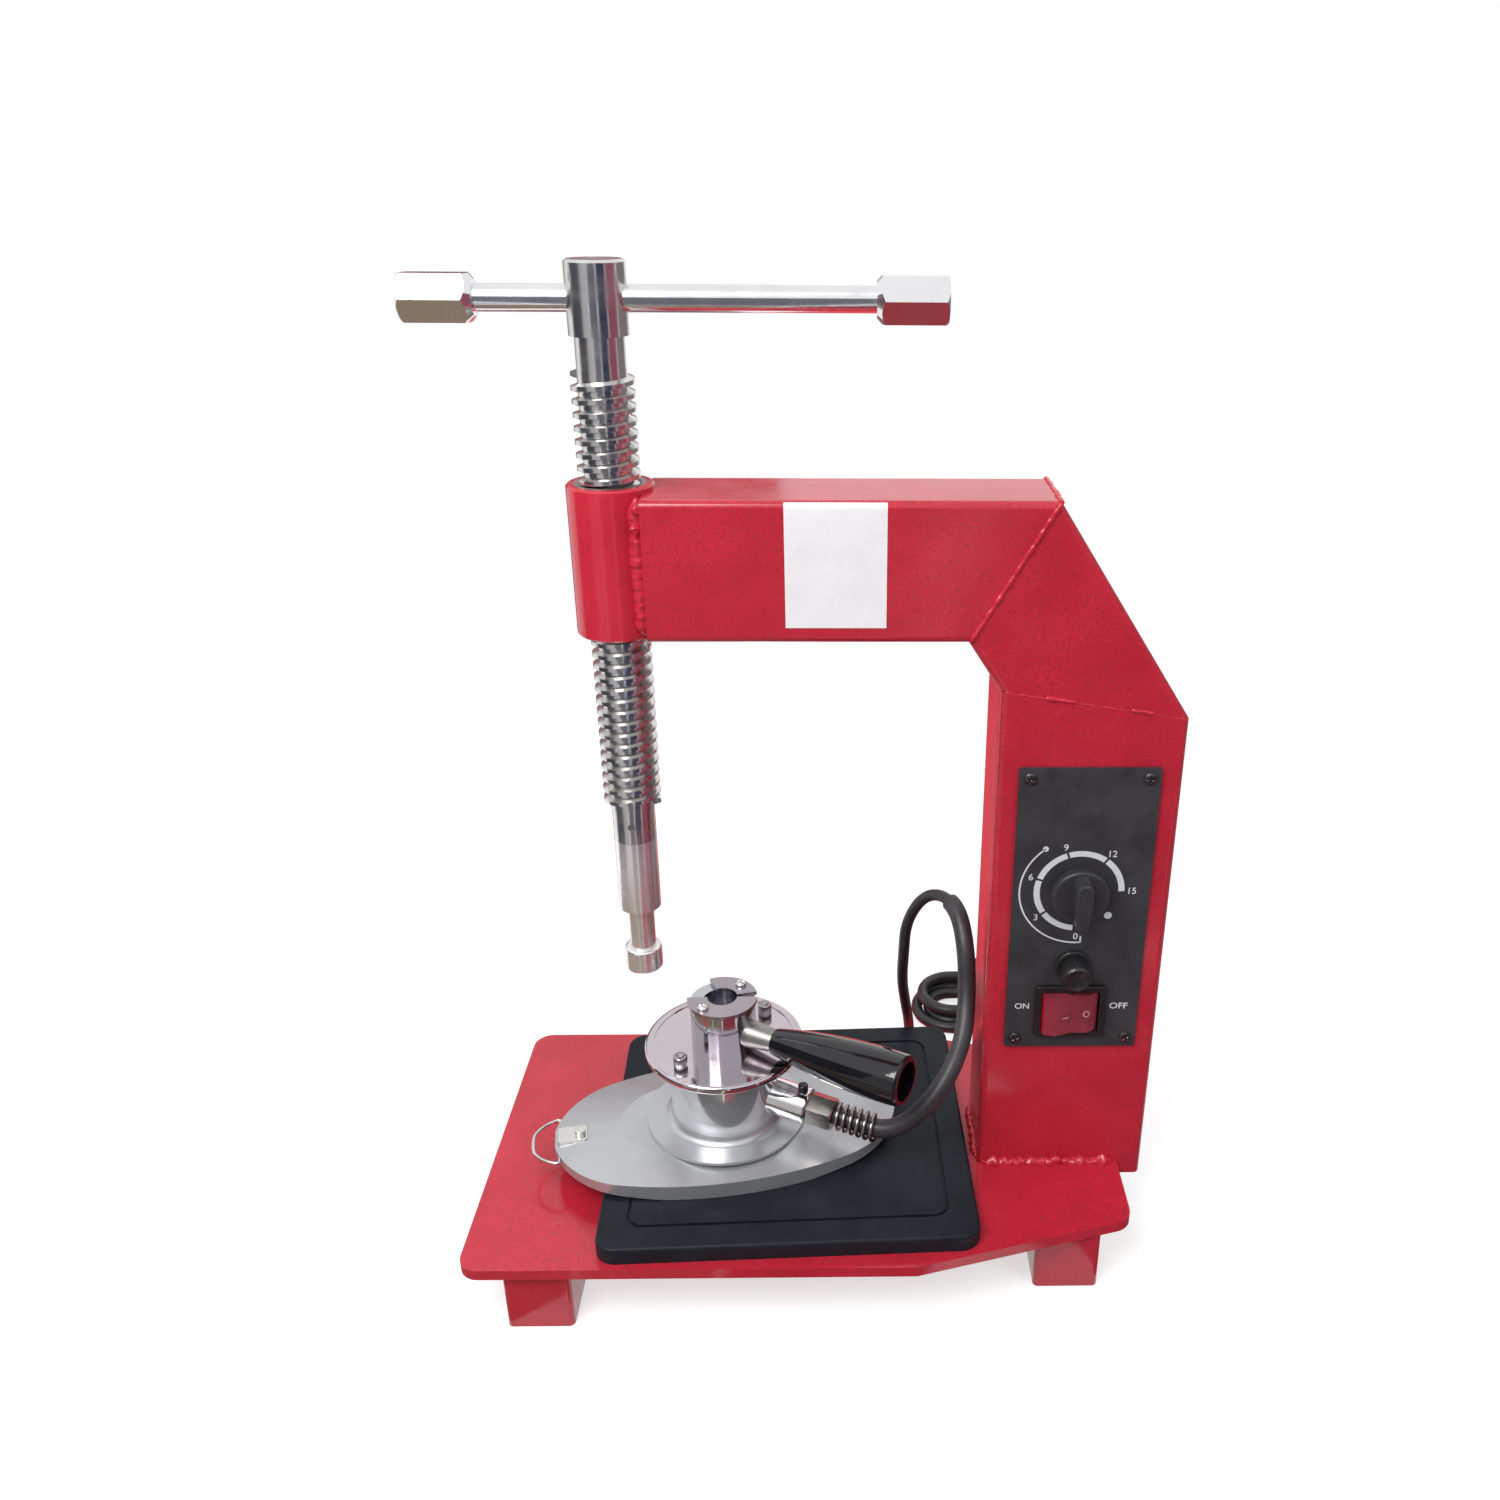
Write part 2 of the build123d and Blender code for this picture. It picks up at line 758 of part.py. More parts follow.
def boat_sole():
    slab = extrude(boat_outline(), boat_edge)
    crown = loft([
        Pos(0, 0, boat_edge) * boat_outline(),
        Pos(0, 0, boat_edge + boat_crown) * boat_outline(boat_crown_share, boat_crown_share),
    ], ruled=True)
    sole = slab + crown
    half = boat_half_length + overrun
    flat = boat_flat_share * boat_half_length
    for side in (-1, 1):
        wedge = make_face(Polyline([
            (side * flat, 0), (side * half, boat_tip_rise), (side * half, -overrun), (side * flat, -overrun),
        ], close=True))
        sole -= extrude(Plane.XZ * wedge, boat_half_width + overrun, both=True)
    seat = boat_edge + tab_seat
    pocket_end = -boat_half_length + tab_from_tip + tab_length + running_fit
    pocket = Pos(pocket_end - boat_half_length, 0, seat) * Box(
        2 * boat_half_length, tab_width + 2 * running_fit, boat_crown + boat_edge,
        align=(Align.CENTER, Align.CENTER, Align.MIN))
    sole -= pocket
    sole = boat_place(boat_bottom) * sole
    sole -= along(bail_plane(), bail_wire_radius + bail_play, -boat_half_width, boat_half_width)
    place = tab_screw_place()
    sole -= place * upright(small_screw_radius, -small_screw_length, overrun)
    return sole


def tab_screw_place():
    x = -boat_half_length + tab_screw_from_tip
    return boat_place(boat_rim + tab_seat) * Pos(x, 0, 0)


def tip_tab():
    x = -boat_half_length + tab_from_tip + tab_length / 2
    tab = extrude(RectangleRounded(tab_length, tab_width, small_screw_radius), tab_thick)
    tab = boat_place(boat_rim + tab_seat) * Pos(x, 0, 0) * tab
    return tab - tab_screw_place() * upright(small_screw_radius, -overrun, tab_thick + overrun)


def tab_screw():
    shank = upright(small_screw_radius, -small_screw_length, tab_thick)
    head = upright(small_head_radius, tab_thick, tab_thick + small_head_height)
    head = fillet(head.edges().group_by(Axis.Z)[-1], small_head_height / 3)
    return tab_screw_place() * (shank + head)


def bail_height():
    return boat_bottom + boat_tip_rise + (boat_edge - boat_tip_rise) * (bail_height_share + 1) / 2


def bail_plane():
    """A plane across the sole's left tip, its normal along the bail's pivot."""
    place = boat_place(bail_height()) * Pos(-boat_half_length + bail_pivot_from_tip, 0, 0)
    origin = place.position
    turn = radians(boat_turn)
    return Plane(origin=origin, x_dir=(-cos(turn), -sin(turn), 0), z_dir=(-sin(turn), cos(turn), 0))


def bail():
    """A wire loop round the sole's tip, with its two ends turned into the pivot hole."""
    wide, reach, inner = bail_half_width, bail_reach, bail_half_width - bail_pin_length
    shoulder, nose = reach * bail_shoulder_share, wide * bail_nose_share
    path = FilletPolyline(
        (0, inner), (0, wide), (shoulder, wide - shoulder / 2), (reach, nose),
        (reach, -nose), (shoulder, shoulder / 2 - wide), (0, -wide), (0, -inner), radius=bail_corner)
    pivot = bail_plane()
    path = Plane(origin=pivot.origin, x_dir=pivot.x_dir, z_dir=(0, 0, 1)) * path
    return sweep(path.location_at(0) * Circle(bail_wire_radius), path)


def heater_axis(z=0):
    return Pos(heater_x, heater_y, z)


def spoke(turn, radius, z=0):
    """A place at a distance from the heater's axis, in the direction of an angle."""
    return heater_axis(z) * Rot(0, 0, turn) * Pos(radius, 0, 0)


def heater_body():
    inner = body_radius - body_wall
    flange, flare = body_flange_radius, body_flare
    ring = collar_ring_radius
    ring_z = body_height - collar_ring_height
    foot_z = body_flange_thick + body_flange_rise
    middle = (1 - cos(pi / 4)) * flare
    outline = make_face([
        Line((inner, 0, 0), (flange, 0, 0)),
        Line((flange, 0, 0), (flange, 0, body_flange_thick)),
        Line((flange, 0, body_flange_thick), (body_radius + flare, 0, foot_z)),
        ThreePointArc((body_radius + flare, 0, foot_z), (body_radius + middle, 0, foot_z + middle),
                      (body_radius, 0, foot_z + flare)),
        Line((body_radius, 0, foot_z + flare), (body_radius, 0, ring_z)),
        Line((body_radius, 0, ring_z), (ring, 0, ring_z)),
        Line((ring, 0, ring_z), (ring, 0, body_height)),
        Line((ring, 0, body_height), (inner, 0, body_height)),
        Line((inner, 0, body_height), (inner, 0, 0)),
    ])
    body = heater_axis(body_bottom) * revolve(outline, Axis.Z)
    body -= along(outlet_plane(), cord_radius + loose_fit, 0, outlet_end)
    for place in lid_screw_places():
        body -= place * upright(lid_screw_shank_radius, lid_top - lid_screw_length, body_top + overrun)
    return body


def lid_screw_places():
    return [spoke(lid_screw_angle, lid_screw_circle), spoke(lid_screw_angle + 180, lid_screw_circle)]


def lid():
    rim, roll = lid_radius, lid_roll
    disc = upright(rim, 0, lid_thick)
    disc = fillet(disc.edges().filter_by(GeomType.CIRCLE).sort_by(Axis.Z), roll)
    disc -= upright(lid_dish_radius, lid_thick - lid_dish_depth, lid_thick + overrun)
    disc += upright(hub_radius, lid_thick - lid_dish_depth, lid_thick)
    disc = heater_axis(body_top) * disc
    for place in lid_screw_places():
        disc -= place * upright(lid_screw_shank_radius, body_top - overrun, lid_top + overrun)
    return disc


def lid_screws():
    seat = lid_top - lid_dish_depth
    top = seat + lid_screw_head_height
    screws = []
    for place in lid_screw_places():
        shank = upright(lid_screw_shank_radius, lid_top - lid_screw_length, seat)
        head = upright(lid_screw_head_radius, seat, top)
        head = fillet(head.edges().group_by(Axis.Z)[-1], lid_screw_head_radius / 6)
        socket = Pos(0, 0, top - socket_depth) * extrude(RegularPolygon(socket_radius, 6), socket_depth + overrun)
        screws.append((place * (shank + head - socket)).solid())
    return Compound(children=screws)


def hub():
    post = upright(hub_radius, lid_top, hub_top)
    post -= upright(hub_bore_radius, hub_top - hub_bore_depth, hub_top + overrun)
    post = heater_axis() * post
    for turn in (front_keeper_pivot, rear_keeper_pivot):
        hole = upright(keeper_screw_radius, hub_top - keeper_screw_depth, hub_top + overrun)
        post -= spoke(turn, keeper_pivot_circle) * hole
    return post


def keeper(start, end, pivot):
    """A ring sector that turns on one screw to hold the screw's collar in the hub."""
    middle, half = radians((start + end) / 2), radians(end - start) / 2
    far = 2 * keeper_radius
    steps = [radians(start), middle - half / 2, middle, middle + half / 2, radians(end)]
    fan = [(0, 0)] + [(far * cos(a), far * sin(a)) for a in steps]
    sector = make_face(Polyline(fan, close=True)) & (Circle(keeper_radius) - Circle(keeper_hole_radius))
    plate = heater_axis(keeper_bottom) * extrude(sector, keeper_thick)
    hole = upright(keeper_screw_radius + running_fit, keeper_bottom - overrun, keeper_top + overrun)
    return plate - spoke(pivot, keeper_pivot_circle) * hole


def keeper_screws():
    seat = keeper_top + keeper_play
    screws = []
    for turn in (front_keeper_pivot, rear_keeper_pivot):
        shank = upright(keeper_screw_radius, hub_top - keeper_screw_depth, seat)
        head = upright(keeper_head_radius, seat, seat + keeper_head_height)
        head = fillet(head.edges().group_by(Axis.Z)[-1], keeper_head_height / 3)
        screws.append((spoke(turn, keeper_pivot_circle) * (shank + head)).solid())
    return Compound(children=screws)


def heating_element():
    return heater_axis() * upright(element_radius, body_bottom, body_bottom + element_thick)


def insulation_pad():
    bottom = body_bottom + element_thick
    return heater_axis() * upright(element_radius, bottom, bottom + pad_thick)


def thermostat():
    bottom = body_bottom + element_thick + pad_thick
    return heater_axis() * upright(thermostat_radius, bottom, bottom + thermostat_height)


# Handle


def handle_plane():
    turn, rise = radians(handle_turn), radians(handle_rise)
    direction = (cos(turn) * cos(rise), sin(turn) * cos(rise), sin(rise))
    return Plane(origin=(heater_x, heater_y, handle_z), x_dir=(-sin(turn), cos(turn), 0), z_dir=direction)


def turned_on(plane, points):
    """A solid of revolution from (radius, distance) points about a plane's normal."""
    return plane * turned(points, Pos(0, 0, 0))


def handle_stem():
    rod_end = grip_start + (grip_end - grip_start) * rod_end_share
    shape = turned_on(handle_plane(), [
        (0, hub_bore_radius), (stem_root_radius, hub_bore_radius), (stem_root_radius, hub_radius + overrun),
        (stem_end_radius, grip_start), (rod_radius, grip_start), (rod_radius, rod_end), (0, rod_end),
    ])
    return shape - heater_axis() * upright(hub_radius, lid_top - overrun, hub_top + overrun)


def handle_grip():
    floor_at = grip_end - grip_hollow_depth
    swell = grip_start + grip_swell_share * (grip_end - grip_start)
    outline = make_face([
        Line((rod_radius, 0, grip_start), (grip_start_radius, 0, grip_start)),
        ThreePointArc((grip_start_radius, 0, grip_start), (grip_swell_radius, 0, swell),
                      (grip_end_radius, 0, grip_end)),
        Line((grip_end_radius, 0, grip_end), (grip_hollow_radius, 0, grip_end)),
        Line((grip_hollow_radius, 0, grip_end), (grip_hollow_radius, 0, floor_at)),
        Line((grip_hollow_radius, 0, floor_at), (rod_radius, 0, floor_at)),
        Line((rod_radius, 0, floor_at), (rod_radius, 0, grip_start)),
    ])
    grip = handle_plane() * revolve(outline, Axis.Z)
    wide = [e for e in grip.edges().filter_by(GeomType.CIRCLE) if e.radius > grip_hollow_radius + overrun]
    return fillet(wide, grip_round)


def handle_nut():
    floor_at = grip_end - grip_hollow_depth
    nut = hexagon_bar(handle_plane(), handle_nut_across, floor_at, floor_at + handle_nut_thick)
    return nut - along(handle_plane(), rod_radius, floor_at - overrun, floor_at + handle_nut_thick + overrun)


# Cable outlet


def outlet_plane():
    turn, droop = radians(outlet_turn), radians(outlet_droop)
    direction = (cos(turn) * cos(droop), sin(turn) * cos(droop), -sin(droop))
    return Plane(origin=(heater_x, heater_y, outlet_z), x_dir=(-sin(turn), cos(turn), 0), z_dir=direction)


def cable_outlet():
    tube = along(outlet_plane(), outlet_radius, body_radius - body_wall, outlet_end)
    tube = fillet(tube.edges().filter_by(GeomType.CIRCLE).sort_by(Axis.X)[-1], outlet_round)
    tube -= along(outlet_plane(), cord_radius + loose_fit, 0, outlet_end + overrun)
    tube -= heater_body()
    tube -= clip_place() * upright(clip_radius + running_fit, -clip_sink, clip_height)
    return tube - clip_place() * upright(small_screw_radius, -small_screw_length, clip_height)


def clip_place():
    seat = outlet_plane() * Pos(0, 0, outlet_end - clip_setback)
    return Pos(0, 0, outlet_radius * cos(radians(outlet_droop))) * Pos(*tuple(seat.position))


def clip_screw():
    shank = upright(small_screw_radius, -small_screw_length, 0)
    head = upright(clip_radius, -clip_sink, clip_height)
    head = fillet(head.edges().group_by(Axis.Z)[-1], clip_height / 4)
    return clip_place() * (shank + head)


def gland_nut():
    plane = outlet_plane()
    nut = hexagon_bar(plane, gland_across, outlet_end, gland_end)
    corner_radius = gland_across / sqrt(3)
    bevel = corner_radius - gland_across / 2
    shape = turned_on(plane, [
        (0, outlet_end), (corner_radius, outlet_end), (corner_radius, gland_end - bevel),
        (gland_across / 2, gland_end), (0, gland_end),
    ])
    nut = nut.solid() & shape.solid()
    return nut - along(plane, cord_radius + loose_fit, outlet_end - overrun, gland_end + overrun)


def relief_spring():
    start = gland_end + spring_wire_radius + spring_gap
    length = spring_end - spring_wire_radius - start
    helix = Helix(spring_pitch, length, spring_radius)
    wire = sweep(helix.location_at(0) * Circle(spring_wire_radius), helix, is_frenet=True)
    print("spring turns", round(length / spring_pitch, 2), "least gap", round(spring_pitch - 2 * spring_wire_radius, 2))
    return outlet_plane() * Pos(0, 0, start) * wire


def heater_route():
    """The heater cord's points, from the gland's face to the grommet's face."""
    first = outlet_plane() * Pos(0, 0, gland_end)
    last = (grommet_x, back_y + grommet_lip, grommet_z)
    near = (grommet_x, back_y + grommet_lip + grommet_straight, grommet_z)
    return [tuple(first.position)] + sleeve_points + bare_points + [near, last]


def heater_cord():
    points = heater_route()
    return tube_on(cord_path("heater cord", points, tangent_radii(points)), cord_radius)


def heater_sleeve():
    """A sleeve round the cord's first stretch, which follows the cord's own bends."""
    points = heater_route()
    count = len(sleeve_points)
    end = (Vector(*points[count - 1]) + Vector(*points[count])) / 2
    radii = tangent_radii(points)[: count - 1]
    return tube_on(cord_path("sleeve", points[:count] + [tuple(end)], radii), sleeve_radius, sleeve_bore)


def grommet():
    plane = Plane(origin=(grommet_x, back_y, grommet_z), x_dir=(1, 0, 0), z_dir=(0, 1, 0))
    body = along(plane, grommet_radius, 0, grommet_lip) + along(plane, grommet_neck, -tube_wall, 0)
    body += along(plane, grommet_radius, -tube_wall - grommet_lip, -tube_wall)
    return body - along(plane, cord_radius / 2, -tube_wall - grommet_lip - overrun, grommet_lip + overrun)


# Control panel


def panel_screw_places():
    half = panel_width / 2 - panel_screw_inset
    for x in (column_x - half, column_x + half):
        for z in (panel_bottom + panel_screw_inset, panel_top - panel_screw_inset):
            yield x, z


def control_panel():
    sheet = extrude(RectangleRounded(panel_width, panel_height, panel_corner), panel_thick)
    panel = facing(column_x, (panel_top + panel_bottom) / 2, front_y) * sheet
    cut = panel_thick + overrun
    for z, radius in ((dial_height, bush_radius), (fuse_height, fuse_body_radius)):
        panel -= along(facing(control_x, z, front_y), radius + loose_fit, -overrun, cut)
    window = (switch_body_width + 2 * loose_fit, 2 * cut, switch_body_height + 2 * loose_fit)
    panel -= Pos(control_x, panel_front, switch_height) * Box(*window)
    for x, z in panel_screw_places():
        panel -= along(facing(x, z, front_y), panel_screw_radius, -overrun, cut)
    return panel


def panel_screws():
    screws = []
    for x, z in panel_screw_places():
        plane = facing(x, z, panel_front)
        shank = along(plane, panel_screw_radius, -panel_thick - tube_wall, 0)
        head = along(plane, panel_head_radius, 0, panel_head_height)
        head = fillet(head.edges().group_by(Axis.Y)[0], panel_head_height / 2)
        screws.append((shank + head).solid())
    return Compound(children=screws)


def timer_body():
    plane = facing(control_x, dial_height, wall_inner)
    case = plane * Pos(0, 0, -timer_depth / 2) * Box(timer_width, timer_height, timer_depth)
    reach = tube_wall + panel_thick + knob_gap / 2
    bush = along(plane, bush_radius, 0, reach)
    return case + bush - along(plane, shaft_radius + running_fit, -timer_depth - overrun, reach + overrun)


def timer_shaft():
    plane = facing(control_x, dial_height, panel_front)
    inside = -panel_thick - tube_wall - shaft_inside
    return along(plane, shaft_radius, inside, knob_depth / 2)


def timer_knob():
    """A round skirt with a raised grip bar that narrows to a pointer at the bottom."""
    skirt = extrude(Circle(knob_radius), knob_skirt)
    skirt = fillet(skirt.edges().group_by(Axis.Z)[-1], knob_gap)
    half, tip = knob_bar_width / 2, knob_bar_tip_width / 2
    reach = knob_bar_reach
    bar = make_face(Polyline([
        (-half, 0), (-tip, -reach), (tip, -reach), (half, 0),
        (half, reach - half), (half / 2, reach - half / 4), (-half / 2, reach - half / 4), (-half, reach - half),
    ], close=True)) & Circle(knob_bar_reach)
    grip = extrude(bar, knob_depth - knob_gap, taper=4)
    grip = fillet(grip.edges().group_by(Axis.Z)[-1], knob_gap)
    knob = skirt + grip
    knob -= upright(shaft_radius, -overrun, knob_depth / 2 - knob_gap)
    return facing(control_x, dial_height, panel_front - knob_gap) * knob


def fuse_holder():
    plane = facing(control_x, fuse_height, panel_front)
    flange = along(plane, fuse_flange_radius, 0, fuse_flange_thick)
    flange = fillet(flange.edges().group_by(Axis.Y)[0], fuse_flange_thick / 3)
    body = flange + along(plane, fuse_body_radius, -fuse_body_depth, 0)
    return body - along(plane, fuse_bore_radius + loose_fit, overrun - fuse_body_depth, fuse_flange_thick + overrun)


def fuse_cap():
    """The cap stands on the holder's flange, with a plug that reaches into its bore."""
    plane = facing(control_x, fuse_height, panel_front - fuse_flange_thick - part_gap)
    cap = along(plane, fuse_cap_radius, 0, fuse_cap_length)
    cap = fillet(cap.edges().group_by(Axis.Y)[0], fuse_slot_depth / 2)
    cap += along(plane, fuse_plug_radius, -fuse_plug_length, 0)
    slot = Box(2 * fuse_cap_radius, fuse_slot_width, 2 * fuse_slot_depth)
    return cap - plane * Pos(0, 0, fuse_cap_length) * slot


def fuse_link():
    plane = facing(control_x, fuse_height, panel_front - fuse_flange_thick - part_gap)
    return along(plane, fuse_link_radius, -fuse_plug_length - fuse_link_length, -fuse_plug_length)


def switch_housing():
    plane = facing(control_x, switch_height, panel_front)
    bezel = extrude(RectangleRounded(bezel_width, bezel_height, bezel_corner), bezel_thick)
    bezel = fillet(bezel.edges().group_by(Axis.Z)[-1], bezel_thick / 4)
    box = Pos(0, 0, -switch_body_depth / 2) * Box(switch_body_width, switch_body_height, switch_body_depth)
    width = 2 * (rocker_reach + rocker_gap)
    height = rocker_height + 2 * rocker_gap
    hollow_depth = rocker_slot + bezel_thick
    hollow = Pos(0, 0, bezel_thick - hollow_depth / 2) * Box(width, height, hollow_depth + 2 * overrun)
    housing = plane * (bezel + box - hollow)
    pin = Pos(control_x, rocker_axis_y(), switch_height) * Cylinder(rocker_pin_radius, height + 2 * overrun)
    return housing + pin


def rocker_axis_y():
    return panel_front - bezel_thick


def rocker():
    """A see-saw button seen from above: two flat halves that meet in a shallow valley, with sloping ends."""
    bow = -rocker_bow
    ridge = rocker_reach * rocker_ridge_share
    rise = ridge * tan(radians(rocker_tilt))
    wide = rocker_reach * rocker_end_share
    outline = make_face(Polyline([
        (-wide, -rocker_lip), (-ridge, bow - rise), (0, bow), (ridge, bow - rise), (wide, -rocker_lip),
        (wide, rocker_back), (-wide, rocker_back),
    ], close=True))
    outline &= Circle(rocker_reach)
    outline -= Circle(rocker_pin_radius + running_fit)
    button = extrude(Rot(0, 0, rocker_tilt) * outline, rocker_height / 2, both=True)
    return Pos(control_x, rocker_axis_y(), switch_height) * button


def switch_blades():
    blades = []
    y = panel_front + switch_body_depth + blade_length / 2
    for i in (-1, 1):
        blade = Pos(control_x + i * blade_spacing / 2, y, switch_height) * Box(blade_thick, blade_length, blade_width)
        blades.append(blade.solid())
    return Compound(children=blades)


def terminal_block():
    y = back_inner - terminal_depth / 2
    block = Box(terminal_width, terminal_depth, terminal_height)
    return Pos(column_x, y, terminal_level + terminal_height / 2) * block


# Mains lead


def mains_relief():
    plane = Plane(origin=(relief_x, back_y, relief_z), x_dir=(1, 0, 0), z_dir=(0, 1, 0))
    shape = turned_on(plane, [
        (mains_radius / 2, -tube_wall), (relief_root_radius, -tube_wall), (relief_root_radius, 0),
        (relief_lip_radius, 0), (relief_lip_radius, relief_lip), (relief_root_radius, relief_lip),
        (relief_tip_radius, relief_length), (mains_radius / 2, relief_length),
    ])
    return shape


def mains_lead():
    first = (relief_x, back_y + relief_length, relief_z)
    points = [first] + lead_points + [hank_start()]
    return tube_on(cord_path("mains lead", points, tangent_radii(points)), mains_radius)


class Trail:
    """Collects edges that follow each other, each starting tangent to the last."""

    def __init__(self, start, heading):
        self.here = Vector(*start)
        self.heading = Vector(*heading)
        self.edges = []

    def run(self, length):
        there = self.here + self.heading * length
        self.edges.append(Line(self.here, there))
        self.here = there

    def arc(self, radius, turn):
        """A level arc to the left for a positive turn, to the right for a negative one."""
        side = 1 if turn > 0 else -1
        left = Vector(-self.heading.Y, self.heading.X, 0) * side
        centre = self.here + left * radius
        spots = []
        for share in (0.5, 1.0):
            spots.append(centre - left.rotate(Axis.Z, turn * share) * radius)
        self.edges.append(ThreePointArc(self.here, spots[0], spots[1]))
        self.here = spots[1]
        self.heading = self.heading.rotate(Axis.Z, turn)

    def climb(self, length, height):
        """An S-shaped rise of two arcs over a level distance."""
        up = Vector(0, 0, 1)
        middle = self.here + self.heading * (length / 2) + up * (height / 2)
        end = self.here + self.heading * length + up * height
        bend = (length**2 + height**2) / (4 * height)
        half = atan2(height, length)
        bulge = up * (bend - bend * cos(half)) + self.heading * bend * sin(half)
        self.edges.append(ThreePointArc(self.here, self.here + bulge, middle))
        self.edges.append(ThreePointArc(middle, end - bulge, end))
        self.here = end


def hank_start():
    return (hank_x - hank_run / 2, hank_y - hank_outer, mains_radius)


def hank_trail():
    """Flat loops that wind in, climb a layer along a run, and wind out again.

    The upper two layers start their left folds further right.
    """
    step = 2 * mains_radius + hank_space
    folds = [hank_outer - turn * step / 2 for turn in range(hank_folds)]
    trail = Trail(hank_start(), (-1, 0, 0))
    for layer in range(hank_layers):
        run = hank_run if layer < hank_layers / 2 else hank_run - hank_shorter
        above = hank_run if layer + 1 < hank_layers / 2 else hank_run - hank_shorter
        last_layer = layer == hank_layers - 1
        radii = folds if layer % 2 == 0 else folds[::-1]
        if last_layer:
            radii = radii[:-1]
        for radius in radii[:-1]:
            trail.arc(radius, -fold_turn)
            trail.run(run)
        trail.arc(radii[-1], -fold_turn)
        if last_layer:
            trail.run(run - tail_overlap)
        else:
            trail.climb(above, step)
    return trail


def least_gap(path, radius):
    """The least distance between far-apart stretches of one tube, less its diameter."""
    count = ceil(path.length / radius)
    spots = [path @ (i / count) for i in range(count + 1)]
    skip = ceil(4 * pi)
    least = path.length
    for i, a in enumerate(spots):
        for b in spots[i + skip:]:
            least = min(least, (a - b).length)
    return least - 2 * radius


def mains_hank():
    trail = hank_trail()
    path = Wire(trail.edges)
    print("hank length", round(path.length, 1), "least gap", round(least_gap(path, mains_radius), 2))
    return tube_on(path, mains_radius)


def mains_tail():
    points = [tuple(hank_trail().here)] + tail_points
    return tube_on(cord_path("mains tail", points, tangent_radii(points)), mains_radius)


def plug_plane():
    return Plane(origin=tail_points[-1], x_dir=(0, 1, 0), z_dir=(-1, 0, 0))


def mains_plug():
    """A moulded plug whose body widens from the cord to the pins."""
    sections = [
        Pos(0, 0, 0) * RectangleRounded(plug_waist, plug_waist, plug_round),
        Pos(0, 0, plug_length / 3) * RectangleRounded(plug_width, plug_height, plug_round),
        Pos(0, 0, plug_length) * RectangleRounded(plug_width, plug_height, plug_round),
    ]
    return plug_plane() * loft(sections, ruled=True)


def plug_pins():
    plane = plug_plane()
    pins = []
    for side in (-1, 1):
        pin = upright(pin_radius, plug_length, plug_length + pin_length)
        pin = fillet(pin.edges().group_by(Axis.Z)[-1], pin_radius / 2)
        pins.append((plane * Pos(side * pin_spacing / 2, 0, 0) * pin).solid())
    return Compound(children=pins)


def cord_tie():
    """A flat band round the middle of the hank's upper loops."""
    step = 2 * mains_radius + hank_space
    width = 2 * (hank_outer + mains_radius + tie_gap)
    height = 2 * mains_radius + (hank_layers - 1) * step + tie_gap
    ring = Rectangle(width + 2 * tie_thick, height + tie_thick) - Pos(0, -tie_thick / 2) * Rectangle(width, height)
    middle = hank_x + hank_shorter / 2
    place = Plane(origin=(middle, hank_y, (height + tie_thick) / 2), x_dir=(0, 1, 0), z_dir=(1, 0, 0))
    return place * Pos(0, 0, -tie_width / 2) * extrude(ring, tie_width)


nodes = {
    "base_plate": base_plate, "feet": feet, "column": column, "knee": knee, "arm": arm,
    "boss_tube": boss_tube, "screw_nut": screw_nut, "spindle": spindle, "press_nose": press_nose,
    "nose_grub_screw": nose_grub_screw, "sliding_bar": sliding_bar, "bar_ends": bar_ends,
    "lower_plate": lower_plate, "mica_heater": mica_heater, "insulation_board": insulation_board,
    "plate_bolts": plate_bolts, "boat_sole": boat_sole, "tip_tab": tip_tab, "tab_screw": tab_screw,
    "bail": bail, "heater_body": heater_body, "lid": lid, "lid_screws": lid_screws, "hub": hub,
    "front_keeper": lambda: keeper(front_keeper_start, front_keeper_end, front_keeper_pivot),
    "rear_keeper": lambda: keeper(rear_keeper_start, rear_keeper_end, rear_keeper_pivot),
    "keeper_screws": keeper_screws, "heating_element": heating_element,
    "insulation_pad": insulation_pad, "thermostat": thermostat, "handle_stem": handle_stem,
    "handle_grip": handle_grip, "handle_nut": handle_nut, "cable_outlet": cable_outlet,
    "clip_screw": clip_screw, "gland_nut": gland_nut, "relief_spring": relief_spring,
    "heater_cord": heater_cord, "heater_sleeve": heater_sleeve, "grommet": grommet,
    "control_panel": control_panel, "panel_screws": panel_screws, "timer_body": timer_body,
    "timer_shaft": timer_shaft, "timer_knob": timer_knob, "fuse_holder": fuse_holder,
    "fuse_cap": fuse_cap, "fuse_link": fuse_link, "switch_housing": switch_housing,
    "rocker": rocker, "switch_blades": switch_blades, "terminal_block": terminal_block,
    "mains_relief": mains_relief, "mains_lead": mains_lead, "mains_hank": mains_hank,
    "mains_tail": mains_tail, "mains_plug": mains_plug, "plug_pins": plug_pins, "cord_tie": cord_tie,
}

os.makedirs("parts", exist_ok=True)
for name, make in nodes.items():
    write(name, make())
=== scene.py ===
import math

import bpy
from mathutils import Matrix, Vector, noise
from mathutils.bvhtree import BVHTree


